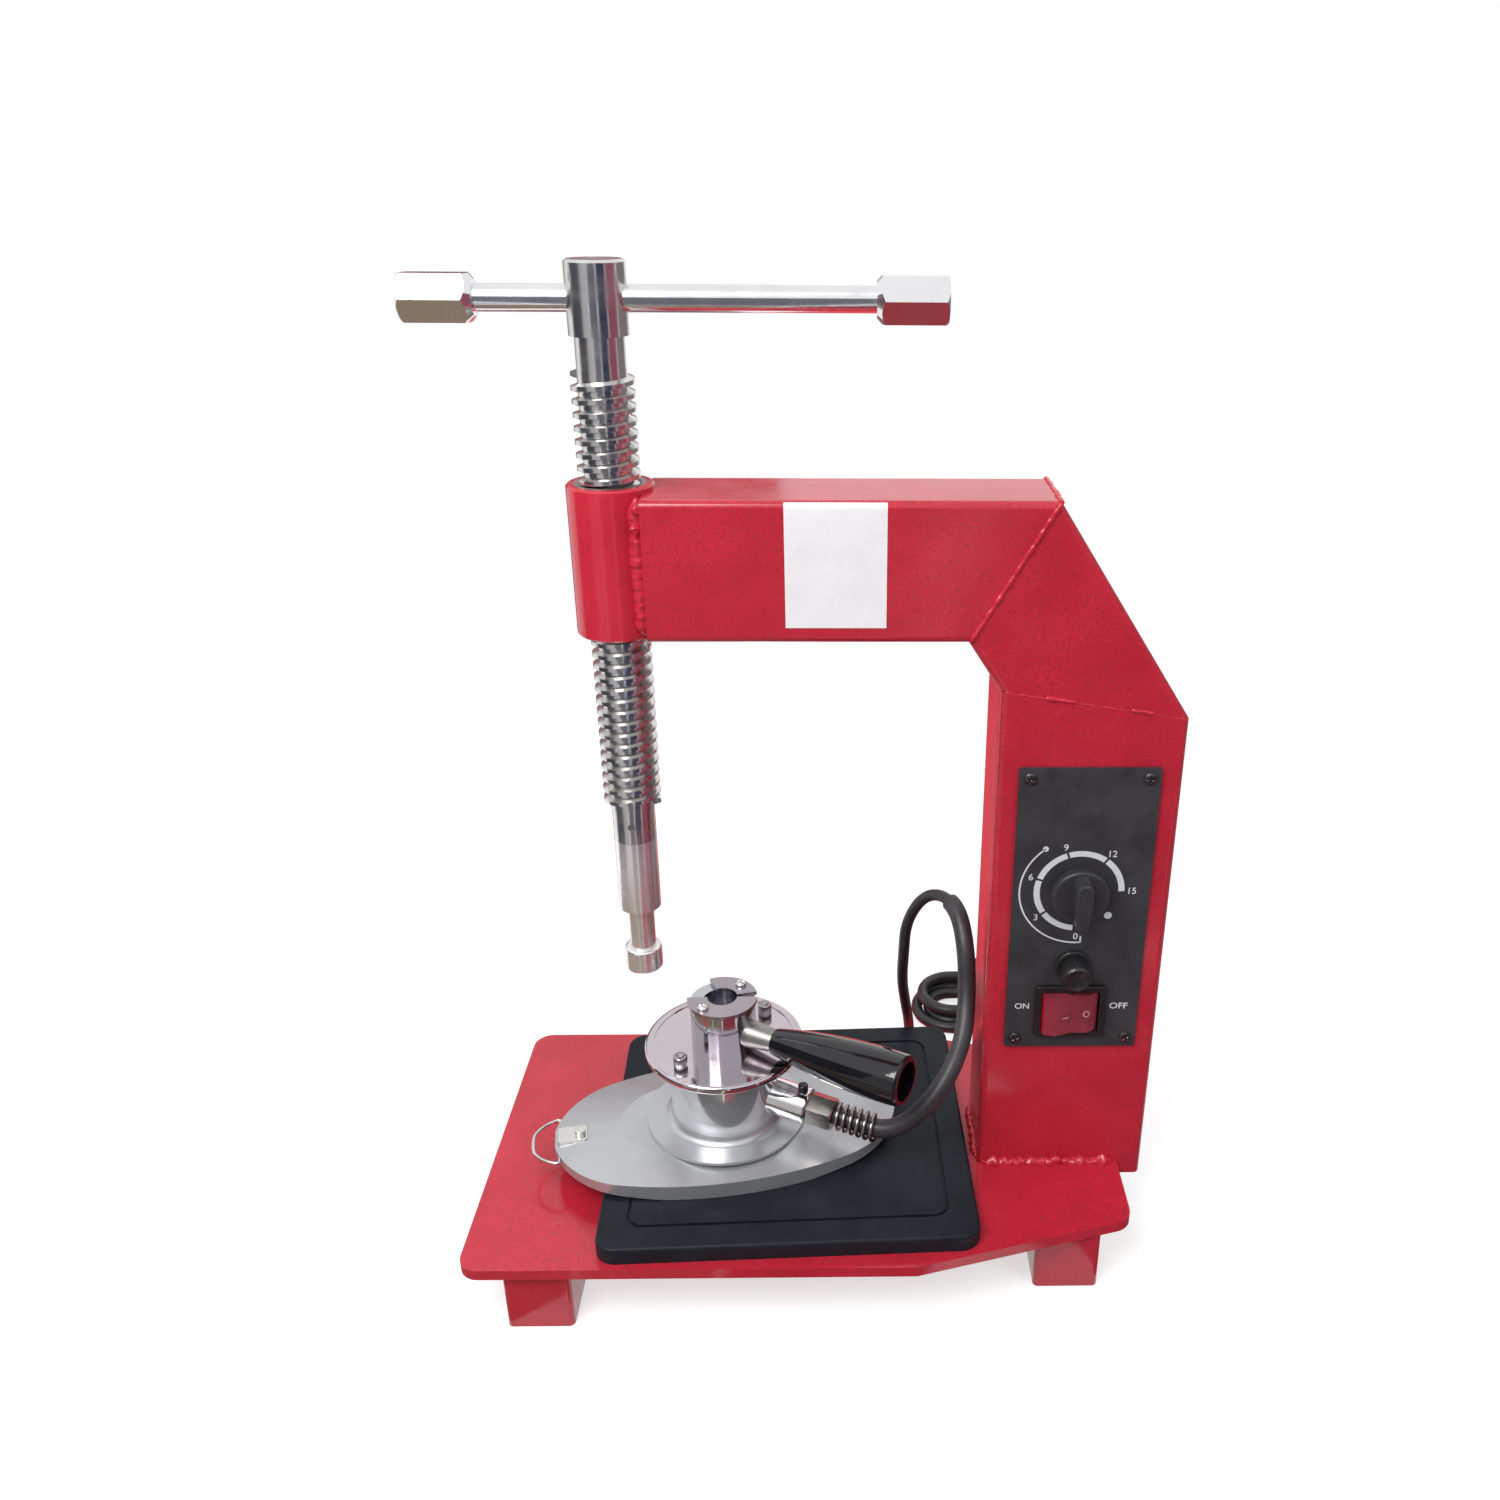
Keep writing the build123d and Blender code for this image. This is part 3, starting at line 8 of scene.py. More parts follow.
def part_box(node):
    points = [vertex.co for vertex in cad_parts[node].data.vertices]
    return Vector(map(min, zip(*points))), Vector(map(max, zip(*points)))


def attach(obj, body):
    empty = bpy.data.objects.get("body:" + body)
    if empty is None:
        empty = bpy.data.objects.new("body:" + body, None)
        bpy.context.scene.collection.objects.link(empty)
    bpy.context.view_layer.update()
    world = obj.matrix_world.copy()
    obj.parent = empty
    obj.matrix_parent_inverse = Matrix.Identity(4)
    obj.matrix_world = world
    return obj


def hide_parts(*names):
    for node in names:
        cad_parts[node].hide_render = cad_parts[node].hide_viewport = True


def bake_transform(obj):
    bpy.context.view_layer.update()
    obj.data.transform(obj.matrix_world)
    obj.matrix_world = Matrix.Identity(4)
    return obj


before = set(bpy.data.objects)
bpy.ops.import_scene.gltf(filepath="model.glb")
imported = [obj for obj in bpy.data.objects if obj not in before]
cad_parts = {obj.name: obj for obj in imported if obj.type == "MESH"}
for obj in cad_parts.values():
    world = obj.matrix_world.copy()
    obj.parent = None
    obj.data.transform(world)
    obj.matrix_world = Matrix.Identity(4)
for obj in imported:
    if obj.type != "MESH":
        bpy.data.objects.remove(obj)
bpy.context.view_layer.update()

MM = 0.001


def box_mm(node):
    """A CAD node's lowest and highest corner, in millimetres."""
    return [[round(value / MM, 2) for value in corner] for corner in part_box(node)]


def middle_mm(node):
    """A CAD node's middle. The rounding makes up for facets that end short of a round side."""
    return [round(sum(pair) / 2, 1) for pair in zip(*box_mm(node))]


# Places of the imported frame, in millimetres
(COLUMN_LEFT, FRONT_Y, _), (COLUMN_RIGHT, BACK_Y, _) = box_mm("column")
(_, _, ARM_BOTTOM), (ARM_RIGHT, _, ARM_TOP) = box_mm("arm")
(PANEL_LEFT, PANEL_FRONT, PANEL_BOTTOM), (PANEL_RIGHT, _, PANEL_TOP) = box_mm("control_panel")
BASE_TOP = box_mm("base_plate")[1][2]
BODY_FOOT = box_mm("heater_body")[0][2]
LID_TOP = box_mm("lid")[1][2]
KEEPER_TOP = box_mm("front_keeper")[1][2]
HEATER_X, HEATER_Y, _ = middle_mm("heater_body")
CONTROL_X, _, DIAL_Z = middle_mm("timer_shaft")
FUSE_Z = middle_mm("fuse_holder")[2]
SWITCH_Z = middle_mm("switch_housing")[2]
RELIEF_X, _, RELIEF_Z = middle_mm("mains_relief")

# Cord sizes and routes, in millimetres
CORD_RADIUS = 2.75
SLEEVE_RADIUS = 4.2
MAINS_RADIUS = 3.25
GLAND_FACE = (8.08, -23.95, 67.95)
GROMMET_FACE = (96.4, 27.6, 59.0)
SLEEVE_POINTS = [
    (18.78, -28.06, 66.95), (28.5, -31.6, 65.7), (38.3, -33.5, 69.3), (49.0, -33.0, 80.2),
    (59.1, -26.1, 90.5), (66.8, -12.0, 101.9), (68.8, 1.5, 117.1), (68.0, 7.9, 136.5),
    (65.4, 21.4, 147.8), (58.6, 34.4, 149.2),
]
BARE_POINTS = [
    (50.0, 44.2, 141.9), (42.8, 51.6, 123.1), (42.1, 54.6, 103.6), (41.9, 63.1, 82.1),
    (44.5, 72.4, 61.7), (46.9, 83.1, 43.8), (48.2, 92.5, 27.0), (51.0, 101.5, 13.5),
    (60.5, 107.5, 5.2), (72.5, 109.5, 2.8), (84.0, 105.5, 5.2), (92.0, 97.5, 12.5),
    (96.0, 86.0, 23.5), (97.2, 73.0, 36.0), (97.2, 59.5, 47.5), (96.4, 41.6, 59.0),
]
RELIEF_TIP = (127.9, 53.1, 46.0)
LEAD_POINTS = [
    (127.9, 68.0, 46.0), (126.5, 86.0, 39.0), (122.0, 104.0, 27.0), (112.0, 120.0, 14.0),
    (100.0, 126.5, 6.5), (87.0, 130.0, 3.25),
]
TAIL_POINTS = [
    (178.3, 172.0, 24.55), (190.0, 183.7, 21.0), (190.0, 200.3, 15.5), (178.3, 212.0, 11.4),
    (164.5, 213.0, 10.25), (150.5, 213.0, 10.25),
]
HANK_X, HANK_Y, HANK_RUN, HANK_SHORTER = 120.9, 151.0, 88.0, 30.0
HANK_OUTER, HANK_STEP, HANK_FOLDS, HANK_LAYERS = 21.0, 7.1, 3, 4
FOLD_SPANS = 5


# Materials, with linear colours and depths in metres

COAT_ROUGHNESS = 0.05
NOISE_ROUGHNESS = 0.55
COLOR_SPAN, ROUGHNESS_SPAN = (0.35, 0.65), (0.3, 0.7)
ROUGHNESS_DETAIL = 6.0
FINE_DEPTH, PAINT_DEPTH = 0.0002, 0.0004

# The heating body's satin foot and the fade above it, in millimetres
SATIN_HEIGHT, SATIN_FADE = 5.5, 3.5


def shader_of(mat):
    return mat.node_tree.nodes["Principled BSDF"]


def add(owner, kind, **values):
    """A shader node of a material or world. Each value goes to an input or else to a setting."""
    node = owner.node_tree.nodes.new(kind)
    for key, value in values.items():
        if key in node.inputs:
            node.inputs[key].default_value = value
        else:
            setattr(node, key, value)
    return node


def join(owner, out, into):
    owner.node_tree.links.new(out, into)


def grey(value):
    return (value, value, value)


def shaded(color, share):
    return tuple(channel * share for channel in color)


def material(name, color, roughness, metallic=0.0, coat=0.0, specular=0.5, transmission=0.0):
    mat = bpy.data.materials.new(name)
    mat.use_nodes = True
    inputs = shader_of(mat).inputs
    inputs["Base Color"].default_value = (*color, 1)
    inputs["Roughness"].default_value = roughness
    inputs["Metallic"].default_value = metallic
    inputs["Coat Weight"].default_value = coat
    inputs["Coat Roughness"].default_value = COAT_ROUGHNESS
    inputs["Specular IOR Level"].default_value = specular
    inputs["Transmission Weight"].default_value = transmission
    return mat


def coords_of(mat, kind="Object"):
    return add(mat, "ShaderNodeTexCoord").outputs[kind]


def noise_of(mat, scale, detail=4.0):
    tex = add(mat, "ShaderNodeTexNoise", Scale=scale, Detail=detail, Roughness=NOISE_ROUGHNESS)
    join(mat, coords_of(mat), tex.inputs["Vector"])
    return tex.outputs["Fac"]


def ramp(mat, value, first, second):
    """Goes from one colour to another; each stop is a position and a colour."""
    node = add(mat, "ShaderNodeValToRGB")
    for element, (position, color) in zip(node.color_ramp.elements, (first, second)):
        element.position = position
        element.color = (*color, 1)
    join(mat, value, node.inputs["Fac"])
    return node.outputs["Color"]


def mask_of(mat, value, low, high):
    """0 below a low value and 1 above a high one."""
    return ramp(mat, value, (low, grey(0)), (high, grey(1)))


def vary_color(mat, scale, first, second):
    low, high = COLOR_SPAN
    color = ramp(mat, noise_of(mat, scale), (low, first), (high, second))
    join(mat, color, shader_of(mat).inputs["Base Color"])


def vary_roughness(mat, scale, first, second):
    low, high = ROUGHNESS_SPAN
    rough = ramp(mat, noise_of(mat, scale, ROUGHNESS_DETAIL), (low, grey(first)), (high, grey(second)))
    join(mat, rough, shader_of(mat).inputs["Roughness"])


def bump(mat, scale, detail, strength, depth=FINE_DEPTH):
    node = add(mat, "ShaderNodeBump", Strength=strength, Distance=depth)
    join(mat, noise_of(mat, scale, detail), node.inputs["Height"])
    join(mat, node.outputs["Normal"], shader_of(mat).inputs["Normal"])


def mix_in(mat, mask, socket, value):
    """Gives an input of the shader a value where the mask is 1, and leaves it where the mask is 0."""
    target = shader_of(mat).inputs[socket]
    is_color = isinstance(value, tuple)
    mix = add(mat, "ShaderNodeMix", data_type="RGBA" if is_color else "FLOAT")
    join(mat, mask, mix.inputs["Factor"])
    if target.links:
        join(mat, target.links[0].from_socket, mix.inputs["A"])
    else:
        mix.inputs["A"].default_value = target.default_value
    mix.inputs["B"].default_value = (*value, 1) if is_color else value
    join(mat, mix.outputs["Result"], target)


def worn_edges(mat, worn, low, high):
    """Specks of a worn colour where the surface is convex."""
    speck_scale, speck_detail, speck_low, speck_high = 900, 8.0, 0.45, 0.62
    pointed = add(mat, "ShaderNodeNewGeometry").outputs["Pointiness"]
    both = add(mat, "ShaderNodeMath", operation="MULTIPLY")
    join(mat, mask_of(mat, pointed, low, high), both.inputs[0])
    specks = noise_of(mat, speck_scale, speck_detail)
    join(mat, mask_of(mat, specks, speck_low, speck_high), both.inputs[1])
    mix_in(mat, both.outputs[0], "Base Color", worn)


def axis_of(mat, kind, axis):
    axes = add(mat, "ShaderNodeSeparateXYZ")
    join(mat, coords_of(mat, kind), axes.inputs["Vector"])
    return axes.outputs[axis]


def satin_below(mat, top, tint, rough, metallic):
    """A cast satin finish below a height in millimetres, with a short fade above it."""
    mask = add(mat, "ShaderNodeMapRange")
    mask.inputs["From Min"].default_value = (top + SATIN_FADE) * MM
    mask.inputs["From Max"].default_value = top * MM
    join(mat, axis_of(mat, "Object", "Z"), mask.inputs["Value"])
    for socket, value in (("Base Color", tint), ("Roughness", rough), ("Metallic", metallic)):
        mix_in(mat, mask.outputs["Result"], socket, value)


def painted_left_highlight(mat, color):
    """A painted highlight: a brighter colour where the surface faces left, as light comes through the lens
    there.
    """
    lean_low, lean_high = 0.3, 0.55
    left = add(mat, "ShaderNodeMath", operation="MULTIPLY")
    join(mat, axis_of(mat, "Normal", "X"), left.inputs[0])
    left.inputs[1].default_value = -1
    mix_in(mat, mask_of(mat, left.outputs[0], lean_low, lean_high), "Base Color", color)


def red_paint(name, rough, grain_scale, grain):
    """Glossy red paint with a grain."""
    middle, deep, light, coat = (0.5, 0.02, 0.04), (0.47, 0.014, 0.032), (0.54, 0.02, 0.042), 0.06
    drift_scale, grain_detail = 35, 3.0
    mat = material(name, middle, rough, coat=coat)
    vary_color(mat, drift_scale, deep, light)
    bump(mat, grain_scale, grain_detail, grain, PAINT_DEPTH)
    return mat


def chrome(name, tint, low, high, grain=0.02, metallic=1.0):
    """A smooth metal whose roughness drifts from a low to a high value."""
    rough_scale, tint_scale, deep_share = 120, 45, 0.93
    grain_scale, grain_detail = 900, 3.0
    mat = material(name, tint, low, metallic)
    vary_roughness(mat, rough_scale, low, high)
    vary_color(mat, tint_scale, shaded(tint, deep_share), tint)
    bump(mat, grain_scale, grain_detail, grain)
    return mat


def dull_metal(name, tint, low, high):
    """A metal with a coarser grain and a livelier tint."""
    rough_scale, tint_scale, deep_share = 300, 60, 0.8
    grain_scale, grain_detail, grain = 700, 5.0, 0.12
    mat = material(name, tint, low, metallic=1.0)
    vary_roughness(mat, rough_scale, low, high)
    vary_color(mat, tint_scale, shaded(tint, deep_share), tint)
    bump(mat, grain_scale, grain_detail, grain)
    return mat


def plastic(name, color, rough, grain=0.05, scale=900, coat=0.0, spread=0.16, specular=0.5):
    """A plastic, rubber or print; the spread is how far its colour drifts either way, as a share."""
    tint_scale, rough_scale, rough_drop, rough_rise, grain_detail = 80, 150, 0.06, 0.08, 4.0
    mat = material(name, color, rough, coat=coat, specular=specular)
    vary_color(mat, tint_scale, shaded(color, 1 - spread), shaded(color, 1 + spread))
    vary_roughness(mat, rough_scale, rough - rough_drop, rough + rough_rise)
    bump(mat, scale, grain_detail, grain)
    return mat


RED = red_paint("red_paint", 0.16, grain_scale=420, grain=0.012)
worn_edges(RED, (0.30, 0.02, 0.03), low=0.56, high=0.64)
vary_roughness(RED, scale=60, first=0.12, second=0.23)
RED_WELD = red_paint("red_weld", 0.24, grain_scale=1500, grain=0.08)

# Metals: tint, low and high roughness
CHROME_TINT = (0.83, 0.83, 0.85)
CHROME = chrome("chrome", CHROME_TINT, 0.05, 0.14)
BAR_CHROME = chrome("bar_chrome", CHROME_TINT, 0.10, 0.19)
POLISHED = chrome("polished_alloy", (0.80, 0.80, 0.82), 0.06, 0.14, grain=0.035, metallic=0.78)
satin_below(POLISHED, BODY_FOOT + SATIN_HEIGHT, (0.50, 0.51, 0.53), rough=0.34, metallic=0.72)
HUB = chrome("hub_chrome", (0.56, 0.56, 0.60), 0.07, 0.15, grain=0.03)
SATIN = chrome("satin_alloy", (0.49, 0.50, 0.52), 0.30, 0.42, grain=0.08, metallic=0.68)
NOSE = chrome("turned_steel", (0.85, 0.82, 0.82), 0.16, 0.26, grain=0.03, metallic=0.85)
NICKEL_DARK = chrome("dark_nickel", (0.42, 0.39, 0.36), 0.14, 0.28, grain=0.06)
LID_CHROME = chrome("lid_chrome", (0.60, 0.54, 0.58), 0.05, 0.12)
KEEPER = chrome("keeper_alloy", (0.42, 0.38, 0.42), 0.22, 0.36, grain=0.06)
THREAD = chrome("thread_chrome", (0.72, 0.71, 0.70), 0.12, 0.28, grain=0.05)
STEEL = chrome("bright_steel", (0.72, 0.71, 0.68), 0.14, 0.24, grain=0.04)
NICKEL = chrome("nickel_pins", (0.72, 0.69, 0.62), 0.12, 0.25)
NUT_STEEL = dull_metal("nut_steel", (0.35, 0.34, 0.33), 0.3, 0.45)
SCREW_STEEL = dull_metal("screw_steel", (0.13, 0.12, 0.12), 0.22, 0.4)
SOCKET_STEEL = dull_metal("socket_steel", (0.42, 0.41, 0.43), 0.14, 0.28)
DARK_STEEL = dull_metal("blackened_steel", (0.10, 0.10, 0.11), 0.25, 0.42)
BRASS = dull_metal("brass", (0.70, 0.52, 0.22), 0.2, 0.35)

# Plastics and the like: colour, roughness
PLATE = plastic("plate_coating", (0.012, 0.0145, 0.020), 0.42, grain=0.10, scale=1400, specular=0.14)
PANEL = plastic("panel_paint", (0.040, 0.038, 0.043), 0.42, grain=0.10, scale=1600, specular=0.15)
GLOSS_BLACK = plastic("gloss_black", (0.006, 0.006, 0.008), 0.12, grain=0.012, coat=1.0, specular=0.1)
SWITCH_BLACK = plastic("switch_black", (0.012, 0.012, 0.013), 0.3, grain=0.04)
KNOB_BLACK = plastic("knob_black", (0.030, 0.030, 0.034), 0.38, grain=0.08)
FUSE_BLACK = plastic("fuse_black", (0.015, 0.015, 0.016), 0.30)
SLEEVE = plastic("sleeve_rubber", (0.033, 0.030, 0.034), 0.42, grain=0.07, scale=500)
CORD = plastic("cord_rubber", (0.018, 0.018, 0.02), 0.38, grain=0.06, scale=600)
PRINT = plastic("white_print", (0.62, 0.63, 0.66), 0.45, grain=0.03, spread=0.05)
LABEL = plastic("label_white", (0.78, 0.75, 0.77), 0.30, grain=0.02, coat=0.2, spread=0.03)
BOARD = plastic("insulation_board", (0.42, 0.38, 0.31), 0.8, grain=0.3, scale=400)
LENS = plastic("rocker_red", (0.24, 0.028, 0.045), 0.2, grain=0.02)
# The rocker's left-facing sides get a painted highlight
painted_left_highlight(LENS, (0.56, 0.008, 0.03))
MARK = plastic("rocker_mark", (0.62, 0.36, 0.38), 0.4, grain=0.02)
GLASS = material("fuse_glass", (0.9, 0.92, 0.92), 0.05, transmission=0.9)

FINISHES = {
    RED: ["base_plate", "feet", "column", "knee", "arm", "boss_tube"],
    THREAD: ["spindle"],
    BAR_CHROME: ["sliding_bar", "bail"],
    CHROME: ["bar_ends", "cable_outlet"],
    NOSE: ["press_nose"],
    NICKEL_DARK: ["gland_nut", "relief_spring"],
    POLISHED: ["heater_body"],
    HUB: ["hub"],
    SATIN: ["boat_sole"],
    LID_CHROME: ["lid"],
    KEEPER: ["front_keeper", "rear_keeper"],
    STEEL: ["tip_tab", "tab_screw", "keeper_screws"],
    NUT_STEEL: ["screw_nut", "handle_nut", "handle_stem", "nose_grub_screw",
                "heating_element", "thermostat", "timer_shaft"],
    DARK_STEEL: ["plate_bolts", "lid_screws", "clip_screw", "panel_screws"],
    PLATE: ["lower_plate"],
    PANEL: ["control_panel"],
    GLOSS_BLACK: ["handle_grip"],
    SWITCH_BLACK: ["switch_housing"],
    KNOB_BLACK: ["timer_knob", "timer_body", "terminal_block"],
    FUSE_BLACK: ["fuse_holder", "fuse_cap"],
    CORD: ["grommet", "mains_relief", "mains_plug", "cord_tie",
           "heater_cord", "mains_lead", "mains_hank", "mains_tail"],
    SLEEVE: ["heater_sleeve"],
    BOARD: ["mica_heater", "insulation_board", "insulation_pad"],
    BRASS: ["switch_blades"],
    NICKEL: ["plug_pins"],
    LENS: ["rocker"],
    GLASS: ["fuse_link"],
}
for finish, names in FINISHES.items():
    for node_name in names:
        cad_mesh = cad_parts[node_name].data
        cad_mesh.materials.clear()
        cad_mesh.materials.append(finish)


# Building pieces, with sizes in millimetres

def in_scene(name, data):
    """A new object in the scene."""
    thing = bpy.data.objects.new(name, data)
    bpy.context.scene.collection.objects.link(thing)
    return thing


def put(name, data, body, mat, replaced=()):
    """A mesh or curve becomes a piece that rides on a body, or on none yet."""
    data.materials.clear()
    data.materials.append(mat)
    piece = in_scene(name, data)
    if body:
        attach(piece, body)
    if replaced:
        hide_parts(*replaced)
    return piece


def mesh_from(name, verts, faces, smooth=True):
    mesh = bpy.data.meshes.new(name)
    mesh.from_pydata([Vector(v) * MM for v in verts], [], faces)
    mesh.polygons.foreach_set("use_smooth", [smooth] * len(mesh.polygons))
    mesh.update()
    return mesh


def turns(count):
    """Angles all round, in radians."""
    return [2 * math.pi * k / count for k in range(count)]


def strip_faces(rows, sides, base=0, closed=True):
    """Quads between rows of vertices, each row a ring or an open line."""
    faces = []
    last = sides if closed else sides - 1
    for row in range(rows - 1):
        for side in range(last):
            a, b = base + row * sides + side, base + row * sides + (side + 1) % sides
            faces.append((a, b, b + sides, a + sides))
    return faces


def capped_strip(rows, sides):
    """Quads between rings, with a face over each end."""
    start = tuple(range(sides))
    end = tuple((rows - 1) * sides + k for k in start)
    return strip_faces(rows, sides) + [start[::-1], end]


def lathe(rings, spokes=72):
    """A closed form about Z. A ring is a radius, as a number or a function of the angle, and a height."""
    verts = []
    for radius, height in rings:
        for turn in turns(spokes):
            reach = radius(turn) if callable(radius) else radius
            verts.append(Vector((reach * math.cos(turn), reach * math.sin(turn), height)))
    return verts, capped_strip(len(rings), spokes)


def moved(shape, origin, outward=(0, 0, 1), turn=0.0):
    """A shape with its Z along a direction and its origin at a place."""
    verts, faces = shape
    aim = Vector(outward).to_track_quat("Z", "Y").to_matrix() @ Matrix.Rotation(turn, 3, "Z")
    return [aim @ Vector(v) + Vector(origin) for v in verts], faces


def merged(shapes):
    verts, faces = [], []
    for shape_verts, shape_faces in shapes:
        base = len(verts)
        verts += shape_verts
        faces += [tuple(base + i for i in face) for face in shape_faces]
    return verts, faces


def spline_curve(name, points, radius, resolution=10, sides=5):
    """A round cord as one open NURBS spline through given control points."""
    curve = bpy.data.curves.new(name, "CURVE")
    curve.dimensions = "3D"
    curve.bevel_depth = radius * MM
    curve.bevel_resolution = sides
    curve.use_fill_caps = True
    curve.resolution_u = resolution
    spline = curve.splines.new("NURBS")
    spline.points.add(len(points) - 1)
    for point, (x, y, z) in zip(spline.points, points):
        point.co = (x * MM, y * MM, z * MM, 1)
    spline.order_u = 3
    spline.use_endpoint_u = True
    return curve


# Camera, in millimetres, degrees and the photograph's pixels

PHOTO_SIDE = 1500
EYE = (12.32, -499.74, 462.16)
YAW, PITCH, ROLL = 1.21, 23.57, 0.43
FOCAL_PX, CENTRE_X_PX, CENTRE_Y_PX = 1307.36, 868.96, 738.18
SENSOR_WIDTH = 36.0
CLIP_START = 10.0


def photo_camera():
    """The photograph's viewpoint: place, heading, and the off-centre crop of a square frame."""
    yaw, pitch, roll = math.radians(YAW), math.radians(PITCH), math.radians(ROLL)
    data = bpy.data.cameras.new("camera")
    data.sensor_width = SENSOR_WIDTH
    data.lens = SENSOR_WIDTH * FOCAL_PX / PHOTO_SIDE
    data.shift_x = (PHOTO_SIDE / 2 - CENTRE_X_PX) / PHOTO_SIDE
    data.shift_y = (CENTRE_Y_PX - PHOTO_SIDE / 2) / PHOTO_SIDE
    data.clip_start = CLIP_START * MM
    ahead = Vector((math.sin(yaw) * math.cos(pitch), math.cos(yaw) * math.cos(pitch), -math.sin(pitch)))
    right = Vector((math.cos(yaw), -math.sin(yaw), 0))
    up = right.cross(ahead)
    side = right * math.cos(roll) + up * math.sin(roll)
    top = up * math.cos(roll) - right * math.sin(roll)
    matrix = Matrix((side, top, -ahead)).transposed().to_4x4()
    matrix.translation = Vector(EYE) * MM
    camera = in_scene("camera", data)
    camera.matrix_world = matrix
    bpy.context.scene.camera = camera


# Cords

def hank_points():
    """Control points of the hank: each fold is part of a polygon, and each run has a point near its ends."""
    points = []
    right, heading, y = HANK_X + HANK_RUN / 2, -1, HANK_Y - HANK_OUTER
    folds = [HANK_OUTER - k * HANK_STEP / 2 for k in range(HANK_FOLDS)]
    half_span = math.pi / FOLD_SPANS / 2
    for layer in range(HANK_LAYERS):
        z = MAINS_RADIUS + layer * HANK_STEP
        last = layer == HANK_LAYERS - 1
        radii = folds if layer % 2 == 0 else folds[::-1]
        left = right - (HANK_RUN if layer < HANK_LAYERS / 2 else HANK_RUN - HANK_SHORTER)
        for radius in radii[:-1] if last else radii:
            centre = left if heading < 0 else right
            side = -heading
            lead_in = radius * math.tan(half_span)
            points.append((centre - heading * lead_in, y, z))
            for span in range(FOLD_SPANS):
                turn = math.pi * (span + 0.5) / FOLD_SPANS
                reach = radius / math.cos(half_span)
                points.append((centre + heading * reach * math.sin(turn),
                               y + side * (radius - reach * math.cos(turn)), z))
            y += side * 2 * radius
            heading = -heading
            points.append((centre + heading * lead_in, y, z))
    return points


def tube_mesh(name, points, radius):
    """A mesh tube round a smooth line, and the line's own points in metres."""
    found = []
    for bevel in (radius, 0):
        carrier = in_scene(name, spline_curve(name, points, bevel))
        found.append(bpy.data.meshes.new_from_object(carrier))
        curve = carrier.data
        bpy.data.objects.remove(carrier)
        bpy.data.curves.remove(curve)
    tube, line = found
    tube.polygons.foreach_set("use_smooth", [True] * len(tube.polygons))
    return tube, [tuple(v.co) for v in line.vertices]


def add_cords():
    heater_route = [GLAND_FACE] + SLEEVE_POINTS + BARE_POINTS + [GROMMET_FACE]
    sleeve_end = tuple((a + b) / 2 for a, b in zip(SLEEVE_POINTS[-2], SLEEVE_POINTS[-1]))
    sleeve_route = [GLAND_FACE] + SLEEVE_POINTS[:-1] + [sleeve_end]
    tube, _ = tube_mesh("heater_cord_sleeve", sleeve_route, SLEEVE_RADIUS)
    sleeve = put("heater_cord_sleeve", tube, None, SLEEVE, ["heater_sleeve"])
    tube, line = tube_mesh("heater_cable", heater_route, CORD_RADIUS)
    cord = put("heater_cable", tube, None, CORD, ["heater_cord"])
    for piece in (sleeve, cord):
        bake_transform(piece)
    mains_route = [RELIEF_TIP] + LEAD_POINTS + hank_points() + TAIL_POINTS
    mains_curve = spline_curve("mains_cable", mains_route, MAINS_RADIUS)
    mains = put("mains_cable", mains_curve, "frame", CORD,
                ["mains_lead", "mains_hank", "mains_tail"])


# Welds, in millimetres

BEAD_STEP, BEAD_SIDES = 0.5, 12
RIPPLE_LENGTH, LUMPS_PER_MM = 2.3, 0.33
AHEAD_STEPS = 2
# A direction that no bead runs along
ACROSS_ALL = Vector((0.37, 0.71, 0.6))
TAPER_START, TAPER_SHARE, TAPER_POWER = 0.2, 1.6, 0.6
SEED_STEP = 7.3

# Seams as x and z in the plane of a face
STAND_OFF, ROUNDING, SIDE_INSET = 0.2, 1.2, 3
FOOT_LEFT, FOOT_RIGHT, FOOT_Z = COLUMN_LEFT + 1.4, COLUMN_RIGHT - 13.6, BASE_TOP + STAND_OFF
FOOT_SEAM = [(FOOT_LEFT, FOOT_Z), (FOOT_RIGHT, FOOT_Z)]
MITRE_LEFT, MITRE_BOTTOM, MITRE_TOP = 61.8, ARM_BOTTOM + 0.6, ARM_TOP - 2.0
MITRE_SEAM = [(MITRE_LEFT, MITRE_BOTTOM), (ARM_RIGHT - ROUNDING, MITRE_TOP)]
KNEE_SEAM, KNEE_SINK = [(76.5, 271.4), (149.5, 259.9)], 0.35
LEFT_REST, RIGHT_REST, REST_SINK = [(92.5, 269.4), (105.5, 267.2)], [(127.5, 264.0), (137.0, 262.4)], 0.1
BOSS_SEAM_X, BOSS_SEAM_TOP, BOSS_SEAM_BOTTOM = -66.2, ARM_TOP - 0.5, ARM_BOTTOM + 0.6
BOSS_SEAM_FRONT, BOSS_SEAM_BACK, BOSS_SEAM_BOW = -9.6, 16.8, 0.2

# Beads: radius, ripple share, lump share
FRONT_BEAD, BACK_BEAD, LEFT_BEAD = (2.8, 0.04, 0.8), (2.4, 0.05, 0.7), (2.2, 0.05, 0.6)
MITRE_BEAD, KNEE_BEAD, BOSS_BEAD = (1.0, 0.04, 0.5), (0.5, 0.1, 0.5), (3.5, 0.025, 0.28)
LEFT_REST_BEAD, RIGHT_REST_BEAD = (0.8, 0.05, 0.6), (0.75, 0.05, 0.6)

# Lumps at the boss weld's top: route, bead and noise seed
BOSS_LUMPS = [
    ([(-66.5, -12.6, 346.4), (-64.5, -14.8, 341.8)], (2.6, 0.0, 0.8), 3.1),
    ([(-67.0, -11.0, 338.6), (-66.0, -13.0, 333.0)], (2.3, 0.0, 0.8), 5.7),
]


